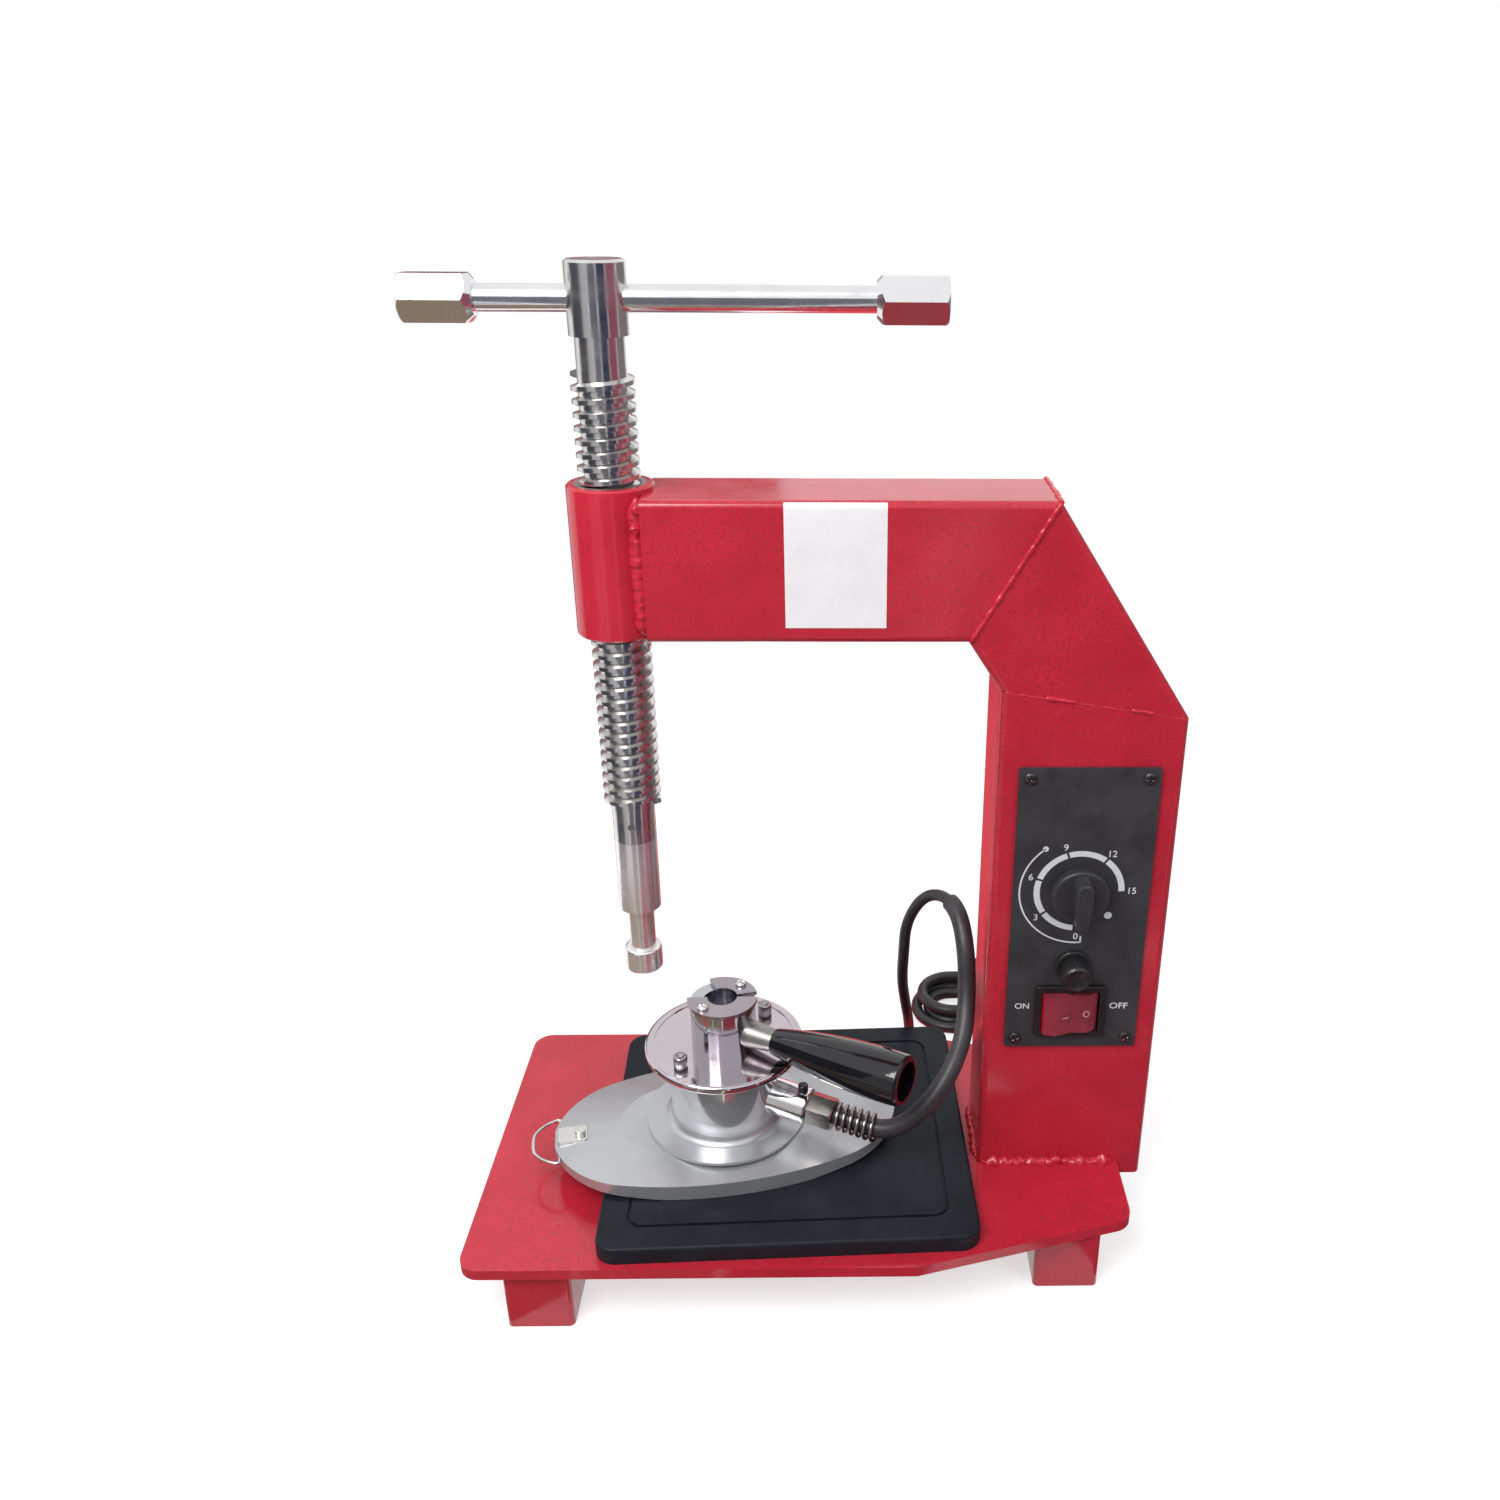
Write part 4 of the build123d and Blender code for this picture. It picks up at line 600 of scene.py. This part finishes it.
def bead(points, radius, ripple, lump, seed):
    """A lumpy weld bead with tapered ends, through given points."""
    line = [Vector(p) for p in points]
    steps = []
    for a, b in zip(line, line[1:]):
        count = max(2, round((b - a).length / BEAD_STEP))
        steps += [a.lerp(b, k / count) for k in range(count)]
    steps.append(line[-1])
    last = len(steps) - 1
    verts = []
    for k, at in enumerate(steps):
        ahead = (steps[min(k + AHEAD_STEPS, last)] - steps[max(k - AHEAD_STEPS, 0)]).normalized()
        side = ahead.cross(ACROSS_ALL).normalized()
        up = ahead.cross(side)
        run_in = min(k, last - k) * BEAD_STEP
        taper = min(1.0, (run_in + TAPER_START) / (TAPER_SHARE * radius)) ** TAPER_POWER
        wave = 1 + ripple * math.sin(2 * math.pi * k * BEAD_STEP / RIPPLE_LENGTH)
        for turn in turns(BEAD_SIDES):
            out = side * math.cos(turn) + up * math.sin(turn)
            place = (at + out * radius) * LUMPS_PER_MM + Vector((seed, seed, 0))
            rough = 1 + lump * noise.noise(place)
            verts.append(at + out * radius * taper * wave * rough)
    return verts, capped_strip(len(steps), BEAD_SIDES)


def along(seam, y):
    return [(x, y, z) for x, z in seam]


def round_the_mitre():
    """The seam between knee and arm, over the front, the top and the back."""
    top = [(ARM_RIGHT, y, ARM_TOP - STAND_OFF) for y in (FRONT_Y + ROUNDING, BACK_Y - ROUNDING)]
    return along(MITRE_SEAM, FRONT_Y) + top + along(MITRE_SEAM[::-1], BACK_Y)


def boss_seam(y, bow):
    """The upright seam between arm and boss, bowed a little in the middle."""
    middle = (BOSS_SEAM_X, y + bow, (ARM_TOP + ARM_BOTTOM) / 2)
    return [(BOSS_SEAM_X, y, BOSS_SEAM_TOP), middle, (BOSS_SEAM_X, y, BOSS_SEAM_BOTTOM)]


def welds():
    left = [(COLUMN_LEFT - STAND_OFF, y, FOOT_Z) for y in (FRONT_Y + SIDE_INSET, BACK_Y - SIDE_INSET)]
    routes = {
        "weld_base_front": (along(FOOT_SEAM, FRONT_Y - STAND_OFF), FRONT_BEAD),
        "weld_base_back": (along(FOOT_SEAM, BACK_Y + STAND_OFF), BACK_BEAD),
        "weld_base_left": (left, LEFT_BEAD),
        "weld_knee_to_arm": (round_the_mitre(), MITRE_BEAD),
        "weld_knee_to_column_front": (along(KNEE_SEAM, FRONT_Y + KNEE_SINK), KNEE_BEAD),
        "weld_knee_to_column_back": (along(KNEE_SEAM, BACK_Y - KNEE_SINK), KNEE_BEAD),
        "weld_rest_left": (along(LEFT_REST, FRONT_Y + REST_SINK), LEFT_REST_BEAD),
        "weld_rest_right": (along(RIGHT_REST, FRONT_Y + REST_SINK), RIGHT_REST_BEAD),
        "weld_boss_front": (boss_seam(BOSS_SEAM_FRONT, -BOSS_SEAM_BOW), BOSS_BEAD),
        "weld_boss_back": (boss_seam(BOSS_SEAM_BACK, BOSS_SEAM_BOW), BOSS_BEAD),
    }
    for k, (name, (points, form)) in enumerate(routes.items()):
        mesh = mesh_from(name, *bead(points, *form, SEED_STEP * k))
        put(name, mesh, "frame", RED_WELD)
    lumps = [bead(points, *form, seed) for points, form, seed in BOSS_LUMPS]
    put("weld_boss_lumps", mesh_from("weld_boss_lumps", *merged(lumps)), "frame", RED_WELD)


# Screw heads, in millimetres

OVERLAP = 0.1
SHANK_SPOKES, CROSS_RINGS, CROSS_SPOKES, SOCKET_SPOKES = 24, 22, 96, 240
DOME_DROP_SHARE, DOME_POWER, RECESS_RISE_SHARE = 0.55, 2.4, 0.4
KNURLS, KNURL_SHARE = 30, 0.035

PANEL_HEAD = dict(radius=2.7, height=1.4, arm=0.36, reach=1.75, depth=0.75)
PANEL_SHANK = dict(radius=1.4, length=4.0)
PANEL_SCREW_INSET, PANEL_SCREW_TURN, PANEL_SCREW_TURN_STEP = 4.7, 0.4, 0.9
LID_HEAD = dict(radius=3.1, height=5.6, socket=1.55, depth=2.6)
KEEPER_HEAD = dict(radius=2.6, height=2.2, arm=0.34, reach=1.7, depth=0.8)
HEATER_SHANK = dict(radius=1.25, length=6.5)
LID_SCREW_TURNS, LID_SCREW_REACH, LID_SCREW_SINK = (48.0, 228.0), 26.3, 0.5
KEEPER_SCREW_TURNS, KEEPER_SCREW_REACH, KEEPER_SCREW_LIFT = (-130.0, 50.0), 12.1, 0.12


def cross_head(radius, height, arm, reach, depth):
    """A domed head with a cross-shaped recess. Z is outward and 0 is the seat."""
    verts = [Vector((0, 0, height - depth))]
    for ring in range(1, CROSS_RINGS + 1):
        r = radius * ring / CROSS_RINGS
        for turn in turns(CROSS_SPOKES):
            x, y = r * math.cos(turn), r * math.sin(turn)
            z = height * (1 - DOME_DROP_SHARE * (r / radius) ** DOME_POWER)
            near, far = sorted((abs(x), abs(y)))
            if near < arm and far < reach:
                z -= depth * (1 - RECESS_RISE_SHARE * far / reach)
            verts.append(Vector((x, y, z)))
    for turn in turns(CROSS_SPOKES):
        verts.append(Vector((radius * math.cos(turn), radius * math.sin(turn), 0)))
    faces = [(0, 1 + k, 1 + (k + 1) % CROSS_SPOKES) for k in range(CROSS_SPOKES)]
    for face in strip_faces(CROSS_RINGS + 1, CROSS_SPOKES, 1):
        faces.append(face[::-1])
    return verts, faces


def socket_head(radius, height, socket, depth):
    """A cap screw's head with a straight knurl and a hexagonal socket."""
    foot, knurl_foot, tip_radius, tip_depth = radius * 0.93, 0.25, 0.3, 0.4
    shoulder, shoulder_drop, knurl_drop, rim = radius * 0.96, 0.4, 0.7, radius * 0.86

    def knurl(turn):
        wave = abs((turn * KNURLS / (2 * math.pi)) % 1 - 0.5) * 2 - 0.5
        return radius * (1 + KNURL_SHARE * wave)

    def hexagon(turn):
        return socket * math.cos(math.pi / 6) / math.cos((turn + math.pi / 6) % (math.pi / 3) - math.pi / 6)

    side = [(foot, 0), (knurl, knurl_foot), (knurl, height - knurl_drop), (shoulder, height - shoulder_drop)]
    inside = [(hexagon, height), (hexagon, height - depth), (tip_radius, height - depth - tip_depth)]
    return lathe(side + [(rim, height)] + inside, SOCKET_SPOKES)


def shank(radius, length):
    return lathe([(radius, -length), (radius, OVERLAP)], SHANK_SPOKES)


def panel_screws():
    inset = PANEL_SCREW_INSET
    places = [(x, PANEL_FRONT, z) for x in (PANEL_LEFT + inset, PANEL_RIGHT - inset)
              for z in (PANEL_BOTTOM + inset, PANEL_TOP - inset)]
    heads = [moved(cross_head(**PANEL_HEAD), at, (0, -1, 0), PANEL_SCREW_TURN + PANEL_SCREW_TURN_STEP * k)
             for k, at in enumerate(places)]
    shanks = [moved(shank(**PANEL_SHANK), at, (0, -1, 0)) for at in places]
    put("panel_screw_set", mesh_from("panel_screw_set", *merged(heads + shanks)), "frame",
        SCREW_STEEL, ["panel_screws"])


def round_the_heater(head, degrees, reach, z):
    """Screws that stand at some angles round the heater's middle. Each head is turned by as many radians."""
    shapes = []
    for turn in degrees:
        heading = math.radians(turn)
        at = (HEATER_X + reach * math.cos(heading), HEATER_Y + reach * math.sin(heading), z)
        shapes += [moved(head, at, turn=turn), moved(shank(**HEATER_SHANK), at, turn=turn)]
    return merged(shapes)


def heater_screws():
    lid = round_the_heater(socket_head(**LID_HEAD), LID_SCREW_TURNS, LID_SCREW_REACH,
                           LID_TOP - LID_SCREW_SINK)
    put("lid_screw_set", mesh_from("lid_screw_set", *lid), "heater", SOCKET_STEEL,
        ["lid_screws"])
    keeper = round_the_heater(cross_head(**KEEPER_HEAD), KEEPER_SCREW_TURNS, KEEPER_SCREW_REACH,
                              KEEPER_TOP + KEEPER_SCREW_LIFT)
    put("keeper_screw_set", mesh_from("keeper_screw_set", *keeper), "heater", STEEL,
        ["keeper_screws"])


# Print on the panel, in millimetres, and in degrees clockwise from the dial's bottom

PRINT_Y = PANEL_FRONT - 0.08
BAND_INNER, BAND_OUTER, BAND_GAP = 16.7, 19.3, 1.6
BAND_STOPS = [5, 54, 108, 162, 216, 270]
ARC_STEP = 3
NUMBERS, NUMBER_STEP, NUMBER_TURN = 6, 3, 54
NUMBER_REACH, END_NUMBER_REACH, NUMBER_SIZE, NUMBER_WEIGHT = 21.9, 22.4, 4.3, 0.03
SWEEP_START, SWEEP_END, SWEEP_INNER, SWEEP_OUTER = -5, 143, 25.0, 25.7
SWEEP_MARK_REACH, SWEEP_DOT_RADIUS = 25.4, 1.25
REST_DOT_TURN, REST_DOT_REACH, REST_DOT_RADIUS = -48, 17.8, 1.7
TICK_HALF_WIDTH, TICK_BOTTOM, TICK_TOP = 0.35, -0.2, 3.2
DOT_SPOKES = 24

# Words beside the switch: place from its middle, size and stretch
SWITCH_WORDS = [("ON", -21.1, 4.0, 1.05), ("OFF", 21.6, 4.2, 1.12)]
WORD_RISE, WORD_WEIGHT = 1.9, 0.05

# Marks on the rocker, from its middle
BAR_LEFT, BAR_RIGHT, BAR_HALF_HEIGHT, BAR_DROP = -3.6, -0.8, 0.22, 1.4
RING_X, RING_INNER, RING_OUTER, RING_STEPS = 7.0, 1.15, 1.6, 24
MARK_LIFT, BEFORE_ALL_Y = 0.06, -200.0


def on_dial(turn, reach):
    """The x and z of a place on the dial."""
    turn = math.radians(turn)
    return CONTROL_X - reach * math.sin(turn), DIAL_Z - reach * math.cos(turn)


def arc_band(start, end, inner, outer):
    """A flat curved band on the dial."""
    count = max(2, round(abs(end - start) / ARC_STEP))
    verts = []
    for k in range(count + 1):
        for reach in (inner, outer):
            x, z = on_dial(start + (end - start) * k / count, reach)
            verts.append(Vector((x, PRINT_Y, z)))
    return verts, strip_faces(count + 1, 2, closed=False)


def disc(x, z, radius):
    verts = [Vector((x + radius * math.cos(turn), PRINT_Y, z + radius * math.sin(turn)))
             for turn in turns(DOT_SPOKES)]
    return verts, [tuple(range(DOT_SPOKES))]


def word(body, x, z, size, weight, stretch=1.0):
    """Text from the built-in letters, centred on a place of the panel."""
    curve = bpy.data.curves.new("word", "FONT")
    curve.body, curve.size, curve.offset = body, size, weight
    curve.align_x, curve.align_y = "CENTER", "CENTER"
    carrier = in_scene("word", curve)
    mesh = bpy.data.meshes.new_from_object(carrier)
    bpy.data.objects.remove(carrier)
    verts = [Vector((x + v.co.x * stretch, PRINT_Y, z + v.co.y)) for v in mesh.vertices]
    faces = [tuple(p.vertices) for p in mesh.polygons]
    bpy.data.meshes.remove(mesh)
    bpy.data.curves.remove(curve)
    return verts, faces


def tick(x, z):
    corners = [(-TICK_HALF_WIDTH, TICK_BOTTOM), (TICK_HALF_WIDTH, TICK_BOTTOM),
               (TICK_HALF_WIDTH, TICK_TOP), (-TICK_HALF_WIDTH, TICK_TOP)]
    return [Vector((x + across, PRINT_Y, z + up)) for across, up in corners], [(0, 1, 2, 3)]


def dial_print():
    shapes = []
    last = len(BAND_STOPS) - 2
    for k, (start, end) in enumerate(zip(BAND_STOPS, BAND_STOPS[1:])):
        shapes.append(arc_band(start + (BAND_GAP if k else 0), end - (BAND_GAP if k < last else 0),
                               BAND_INNER, BAND_OUTER))
    for k in range(NUMBERS):
        reach = END_NUMBER_REACH if k in (0, NUMBERS - 1) else NUMBER_REACH
        x, z = on_dial(NUMBER_TURN * k, reach)
        shapes.append(word(str(NUMBER_STEP * k), x, z, NUMBER_SIZE, NUMBER_WEIGHT))
    shapes.append(arc_band(SWEEP_START, SWEEP_END, SWEEP_INNER, SWEEP_OUTER))
    shapes.append(disc(*on_dial(SWEEP_END, SWEEP_MARK_REACH), SWEEP_DOT_RADIUS))
    shapes.append(disc(*on_dial(REST_DOT_TURN, REST_DOT_REACH), REST_DOT_RADIUS))
    shapes.append(tick(*on_dial(SWEEP_START, SWEEP_MARK_REACH)))
    for body, across, size, stretch in SWITCH_WORDS:
        shapes.append(word(body, CONTROL_X + across, SWITCH_Z + WORD_RISE, size, WORD_WEIGHT, stretch))
    put("dial_print", mesh_from("dial_print", *merged(shapes), smooth=False), "frame", PRINT)


def surface_of(name):
    """A CAD node's surface, for looking up where a ray meets it."""
    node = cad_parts[name]
    return BVHTree.FromPolygons([node.matrix_world @ v.co for v in node.data.vertices],
                                [tuple(p.vertices) for p in node.data.polygons])


def rocker_marks():
    """A bar and a ring, laid on the rocker's two slanted halves."""
    corners = [(x, z) for x in (BAR_LEFT, BAR_RIGHT) for z in (-BAR_HALF_HEIGHT, BAR_HALF_HEIGHT)]
    bar = [Vector((CONTROL_X + x, 0, SWITCH_Z - BAR_DROP + z)) for x, z in corners]
    ring = []
    for turn in turns(RING_STEPS) + [2 * math.pi]:
        for reach in (RING_INNER, RING_OUTER):
            ring.append(Vector((CONTROL_X + RING_X + reach * math.cos(turn), 0,
                                SWITCH_Z + reach * math.sin(turn))))
    verts, faces = merged([(bar, [(0, 1, 3, 2)]), (ring, strip_faces(RING_STEPS + 1, 2, closed=False))])
    tree = surface_of("rocker")
    for v in verts:
        start = Vector((v.x * MM, BEFORE_ALL_Y * MM, v.z * MM))
        hit = tree.ray_cast(start, Vector((0, 1, 0)))[0]
        v.y = hit.y / MM - MARK_LIFT
    put("rocker_marks", mesh_from("rocker_marks", verts, faces, smooth=False), "rocker", MARK)


# Fuse cap, bend relief, bail and label, in millimetres; profiles are radius and height

CAP_FOOT = [(4.5, -5.0), (4.5, 0.0), (5.9, 0.0)]
CAP_CROWN = [(6.0, 8.8), (5.4, 9.8), (4.9, 10.0), (4.6, 9.4), (0.2, 9.3)]
CAP_RADIUS, CAP_RIDGES, CAP_RIDGE_HEIGHT = 6.3, 24, 0.16
CAP_RIDGES_START, CAP_RIDGES_END = 0.7, 8.2
CAP_SINK, CAP_SPOKES = 2.5, 240

RELIEF_LIP = [(6.5, -2.5), (6.5, 0.0), (8.0, 0.0), (8.0, 2.2), (7.7, 2.5), (6.4, 2.6)]
RELIEF_END = [(4.6, 27.9), (3.4, 28.0)]
RIBS, RIB_START, RIB_STEP, GROOVE_SHARE = 6, 3.2, 4.1, 0.84
GROOVE_LENGTH, RIB_FROM, RIB_TO = 1.0, 1.4, 3.6

BAIL_PIVOT, BAIL_HEADING, BAIL_RADIUS = Vector((-118.606, -18.587, 49.484)), 10.5, 0.75
# Half of the bail's bent wire: distance out from its pivot and to one side
BAIL_HALF = [(0, 5.6), (0, 9.0), (0, 13.2), (0.5, 14.9), (2.4, 14.6), (7.4, 11.9), (11.4, 7.2), (12.1, 3.0)]
BAIL_RESOLUTION, BAIL_SIDES = 8, 4

ARM_ROUNDING, LABEL_LIFT = 3.0, 0.12
LABEL_LEFT, LABEL_WIDTH, LABEL_COLUMNS = -10.1, 39.0, 12
LABEL_BOTTOM, LABEL_FLAT_HEIGHT, LABEL_ROWS = 298.5, 46.5, 10
LABEL_CURVED_ROWS = [345.7, 346.4, 347.0, 347.5]


def knurled_fuse_cap():
    """The fuse cap with a ridged side and a shallow rim round its end."""
    def ridged(turn):
        return CAP_RADIUS + CAP_RIDGE_HEIGHT * math.cos(CAP_RIDGES * turn)

    shape = lathe(CAP_FOOT + [(ridged, CAP_RIDGES_START), (ridged, CAP_RIDGES_END)] + CAP_CROWN, CAP_SPOKES)
    verts, faces = moved(shape, (CONTROL_X, PANEL_FRONT - CAP_SINK, FUSE_Z), (0, -1, 0))
    put("fuse_cap_ridged", mesh_from("fuse_cap_ridged", verts, faces), "fuse_cap",
        FUSE_BLACK, ["fuse_cap"])


def ribbed_relief():
    """The mains cord's bend relief: a cone of soft ribs behind a flat lip."""
    wide, cone_start = RELIEF_LIP[-1]
    narrow, cone_end = RELIEF_END[0][0], RELIEF_END[-1][1]
    rings = list(RELIEF_LIP)
    for rib in range(RIBS):
        start = RIB_START + rib * RIB_STEP
        radius = wide - (wide - narrow) * (start - cone_start) / (cone_end - cone_start)
        rings += [(radius * GROOVE_SHARE, start), (radius * GROOVE_SHARE, start + GROOVE_LENGTH),
                  (radius, start + RIB_FROM), (radius, start + RIB_TO)]
    verts, faces = moved(lathe(rings + RELIEF_END), (RELIEF_X, BACK_Y, RELIEF_Z), (0, 1, 0))
    put("mains_relief_ribbed", mesh_from("mains_relief_ribbed", verts, faces), "frame",
        CORD, ["mains_relief"])


def bail_wire():
    """The wire bail as one smooth bent wire, its ends turned into the sole's pivot hole."""
    turn = math.radians(BAIL_HEADING)
    out = Vector((-math.cos(turn), -math.sin(turn), 0))
    side = Vector((-math.sin(turn), math.cos(turn), 0))
    route = BAIL_HALF + [(away, -across) for away, across in BAIL_HALF[::-1]]
    points = [BAIL_PIVOT + out * away + side * across for away, across in route]
    curve = spline_curve("bail_wire", points, BAIL_RADIUS, BAIL_RESOLUTION, BAIL_SIDES)
    put("bail_wire", curve, "bail", STEEL, ["bail"])


def arm_label():
    """A blank white label whose top edge follows the arm's rounded corner."""
    columns = [LABEL_LEFT + LABEL_WIDTH * k / LABEL_COLUMNS for k in range(LABEL_COLUMNS + 1)]
    rows = [LABEL_BOTTOM + LABEL_FLAT_HEIGHT * k / LABEL_ROWS for k in range(LABEL_ROWS + 1)]
    rows += LABEL_CURVED_ROWS
    verts = []
    for z in rows:
        over = max(0.0, z - (ARM_TOP - ARM_ROUNDING))
        y = FRONT_Y + ARM_ROUNDING - math.sqrt(ARM_ROUNDING**2 - over**2)
        verts += [Vector((x, y - LABEL_LIFT, z)) for x in columns]
    faces = strip_faces(len(rows), len(columns), closed=False)
    put("arm_label", mesh_from("arm_label", verts, faces), "frame", LABEL)


photo_camera()
add_cords()
welds()
panel_screws()
heater_screws()
dial_print()
rocker_marks()
knurled_fuse_cap()
ribbed_relief()
bail_wire()
arm_label()


# Stage, in metres and watts

WHITE = (1, 1, 1, 1)
WORLD_LIGHT = 0.38
FLOOR_SIDE = 6.0
FLOOR_TINT, FLOOR_LIT_TINT, FLOOR_GLOW = 0.5, 0.42, 0.62
FLOOR_FADE_START, FLOOR_FADE_END = 0.35, 0.75

# Lamps: name, place, target, size, power and whether metal mirrors them
LAMPS = [
    ("key", (-0.42, -0.62, 1.05), (0, 0, 0.2), (0.6, 0.6), 11, True),
    ("left", (-1.1, -0.15, 0.55), (0.02, 0, 0.2), (0.7, 0.7), 2.8, False),
    ("fill", (0.9, -0.7, 0.9), (0.05, 0, 0.15), (0.7, 0.9), 5.5, False),
    ("back", (0.1, 0.9, 1.1), (0, 0, 0.2), (1.0, 0.6), 6, False),
]

# Cards on the floor: name, angles (0 is the front, 90 the right), near and far reach, colour
BANDS = [
    ("card_back_left", -179, -142, 0.16, 1.5, (0.30, 0.16, 0.17)),
    ("card_left", -98, -50, 0.35, 1.5, (0.07, 0.07, 0.09)),
    ("card_near_left", -112, -24, 0.11, 0.34, (0.29, 0.215, 0.153)),
    ("card_front_left", -50, -24, 0.35, 1.5, (0.50, 0.49, 0.50)),
    ("card_front", -21, 9, 0.34, 1.5, (0.16, 0.16, 0.19)),
    ("card_near_tan", -23, 7, 0.09, 0.33, (0.27, 0.22, 0.17)),
    ("card_navy", 12, 46, 0.34, 1.5, (0.05, 0.05, 0.09)),
    ("card_near_crimson", 9, 50, 0.10, 0.33, (0.33, 0.05, 0.06)),
    ("card_crimson", 48, 88, 0.20, 1.5, (0.30, 0.09, 0.13)),
    ("card_brown", 91, 150, 0.20, 1.5, (0.24, 0.21, 0.21)),
]
CARD_X, CARD_Z, CARD_TOP, CARD_POINTS = -0.06, 0.0006, 0.75, 5
WALLED_REACH = 1

# Cards that stand alone: name, corners, colour
WALLS = [
    ("card_behind_column",
     [(0.0, 0.06, CARD_Z), (0.10, 0.06, CARD_Z), (0.10, 0.9, CARD_Z), (-0.10, 0.9, CARD_Z)],
     (0.95, 0.10, 0.13)),
    ("card_far_left",
     [(-1.9, 1.3, 0.05), (-0.35, 1.5, 0.05), (-0.35, 1.5, 1.0), (-1.9, 1.3, 1.0)],
     (0.62, 0.62, 0.64)),
]


def light(name, at, target, size, power, mirrored):
    data = bpy.data.lights.new(name, "AREA")
    data.shape = "RECTANGLE"
    data.size, data.size_y = size
    data.energy = power
    lamp = in_scene(name, data)
    lamp.location = at
    lamp.rotation_euler = (Vector(target) - Vector(at)).to_track_quat("-Z", "Y").to_euler()
    lamp.visible_glossy = mirrored


def larger(owner, first, second):
    node = add(owner, "ShaderNodeMath", operation="MAXIMUM")
    join(owner, first, node.inputs[0])
    join(owner, second, node.inputs[1])
    return node.outputs[0]


def seen_rays(owner):
    """1 for camera, glossy and see-through rays."""
    rays = add(owner, "ShaderNodeLightPath").outputs
    seen = larger(owner, rays["Is Camera Ray"], rays["Is Glossy Ray"])
    return larger(owner, seen, rays["Is Transmission Ray"])


def mixed(owner, mask, first, second):
    """The first shader where the mask is 0 and the second where it is 1."""
    node = add(owner, "ShaderNodeMixShader")
    join(owner, mask, node.inputs["Fac"])
    join(owner, first, node.inputs[1])
    join(owner, second, node.inputs[2])
    return node.outputs[0]


def studio_world():
    """White to look at, and dimmer as a light."""
    world = bpy.data.worlds.new("studio")
    bpy.context.scene.world = world
    world.use_nodes = True
    nodes = world.node_tree.nodes
    plain = nodes["Background"]
    plain.inputs["Color"].default_value = WHITE
    plain.inputs["Strength"].default_value = WORLD_LIGHT
    seen = add(world, "ShaderNodeBackground", Color=WHITE, Strength=1.0)
    surface = mixed(world, seen_rays(world), plain.outputs[0], seen.outputs[0])
    join(world, surface, nodes["World Output"].inputs["Surface"])


def bare_material(name):
    """A material without its shader."""
    mat = bpy.data.materials.new(name)
    mat.use_nodes = True
    mat.node_tree.nodes.remove(shader_of(mat))
    return mat


def show(mat, surface):
    join(mat, surface, mat.node_tree.nodes["Material Output"].inputs["Surface"])


def glow(mat, strength, color=WHITE):
    return add(mat, "ShaderNodeEmission", Color=color, Strength=strength).outputs[0]


def floor_material():
    """White far away, and near the object a pale floor that keeps its shadow."""
    mat = bare_material("floor_white")
    matt = add(mat, "ShaderNodeBsdfDiffuse", Color=(*grey(FLOOR_TINT), 1))
    near = add(mat, "ShaderNodeAddShader")
    join(mat, matt.outputs[0], near.inputs[0])
    join(mat, glow(mat, FLOOR_GLOW), near.inputs[1])
    distance = add(mat, "ShaderNodeVectorMath", operation="LENGTH")
    join(mat, coords_of(mat), distance.inputs[0])
    far = mask_of(mat, distance.outputs["Value"], FLOOR_FADE_START, FLOOR_FADE_END)
    shown = mixed(mat, far, near.outputs[0], glow(mat, 1.0))
    lit = add(mat, "ShaderNodeBsdfDiffuse", Color=(*grey(FLOOR_LIT_TINT), 1))
    show(mat, mixed(mat, seen_rays(mat), lit.outputs[0], shown))
    return mat


def staged(name, verts, faces, mat):
    """A part of the stage, which is no piece of the object."""
    mesh = bpy.data.meshes.new(name)
    mesh.from_pydata(verts, [], faces)
    mesh.materials.append(mat)
    board = in_scene(name, mesh)
    return board


def card(name, verts, faces, color):
    """A plain card that only reflections see, which gives metal its bands."""
    mat = bare_material(name)
    show(mat, glow(mat, 1.0, (*color, 1)))
    board = staged(name, verts, faces, mat)
    board.visible_camera = board.visible_diffuse = board.visible_shadow = False


def reflected_cards():
    """Bands on the floor round the press, the outer ones with a wall behind them."""
    for name, start, end, near, far, color in BANDS:
        profile = [(near, CARD_Z), (far, CARD_Z)]
        if far > WALLED_REACH:
            profile.append((far, CARD_TOP))
        verts = []
        for reach, height in profile:
            for k in range(CARD_POINTS):
                turn = math.radians(start + (end - start) * k / (CARD_POINTS - 1))
                verts.append((CARD_X + reach * math.sin(turn), -reach * math.cos(turn), height))
        card(name, verts, strip_faces(len(profile), CARD_POINTS, closed=False), color)
    for name, corners, color in WALLS:
        card(name, corners, [(0, 1, 2, 3)], color)


def floor():
    corners = [(-FLOOR_SIDE, -FLOOR_SIDE, 0), (FLOOR_SIDE, -FLOOR_SIDE, 0),
               (FLOOR_SIDE, FLOOR_SIDE, 0), (-FLOOR_SIDE, FLOOR_SIDE, 0)]
    staged("floor", corners, [(0, 1, 2, 3)], floor_material())


studio_world()
floor()
reflected_cards()
for lamp_values in LAMPS:
    light(*lamp_values)
bpy.context.scene.view_settings.view_transform = "Standard"
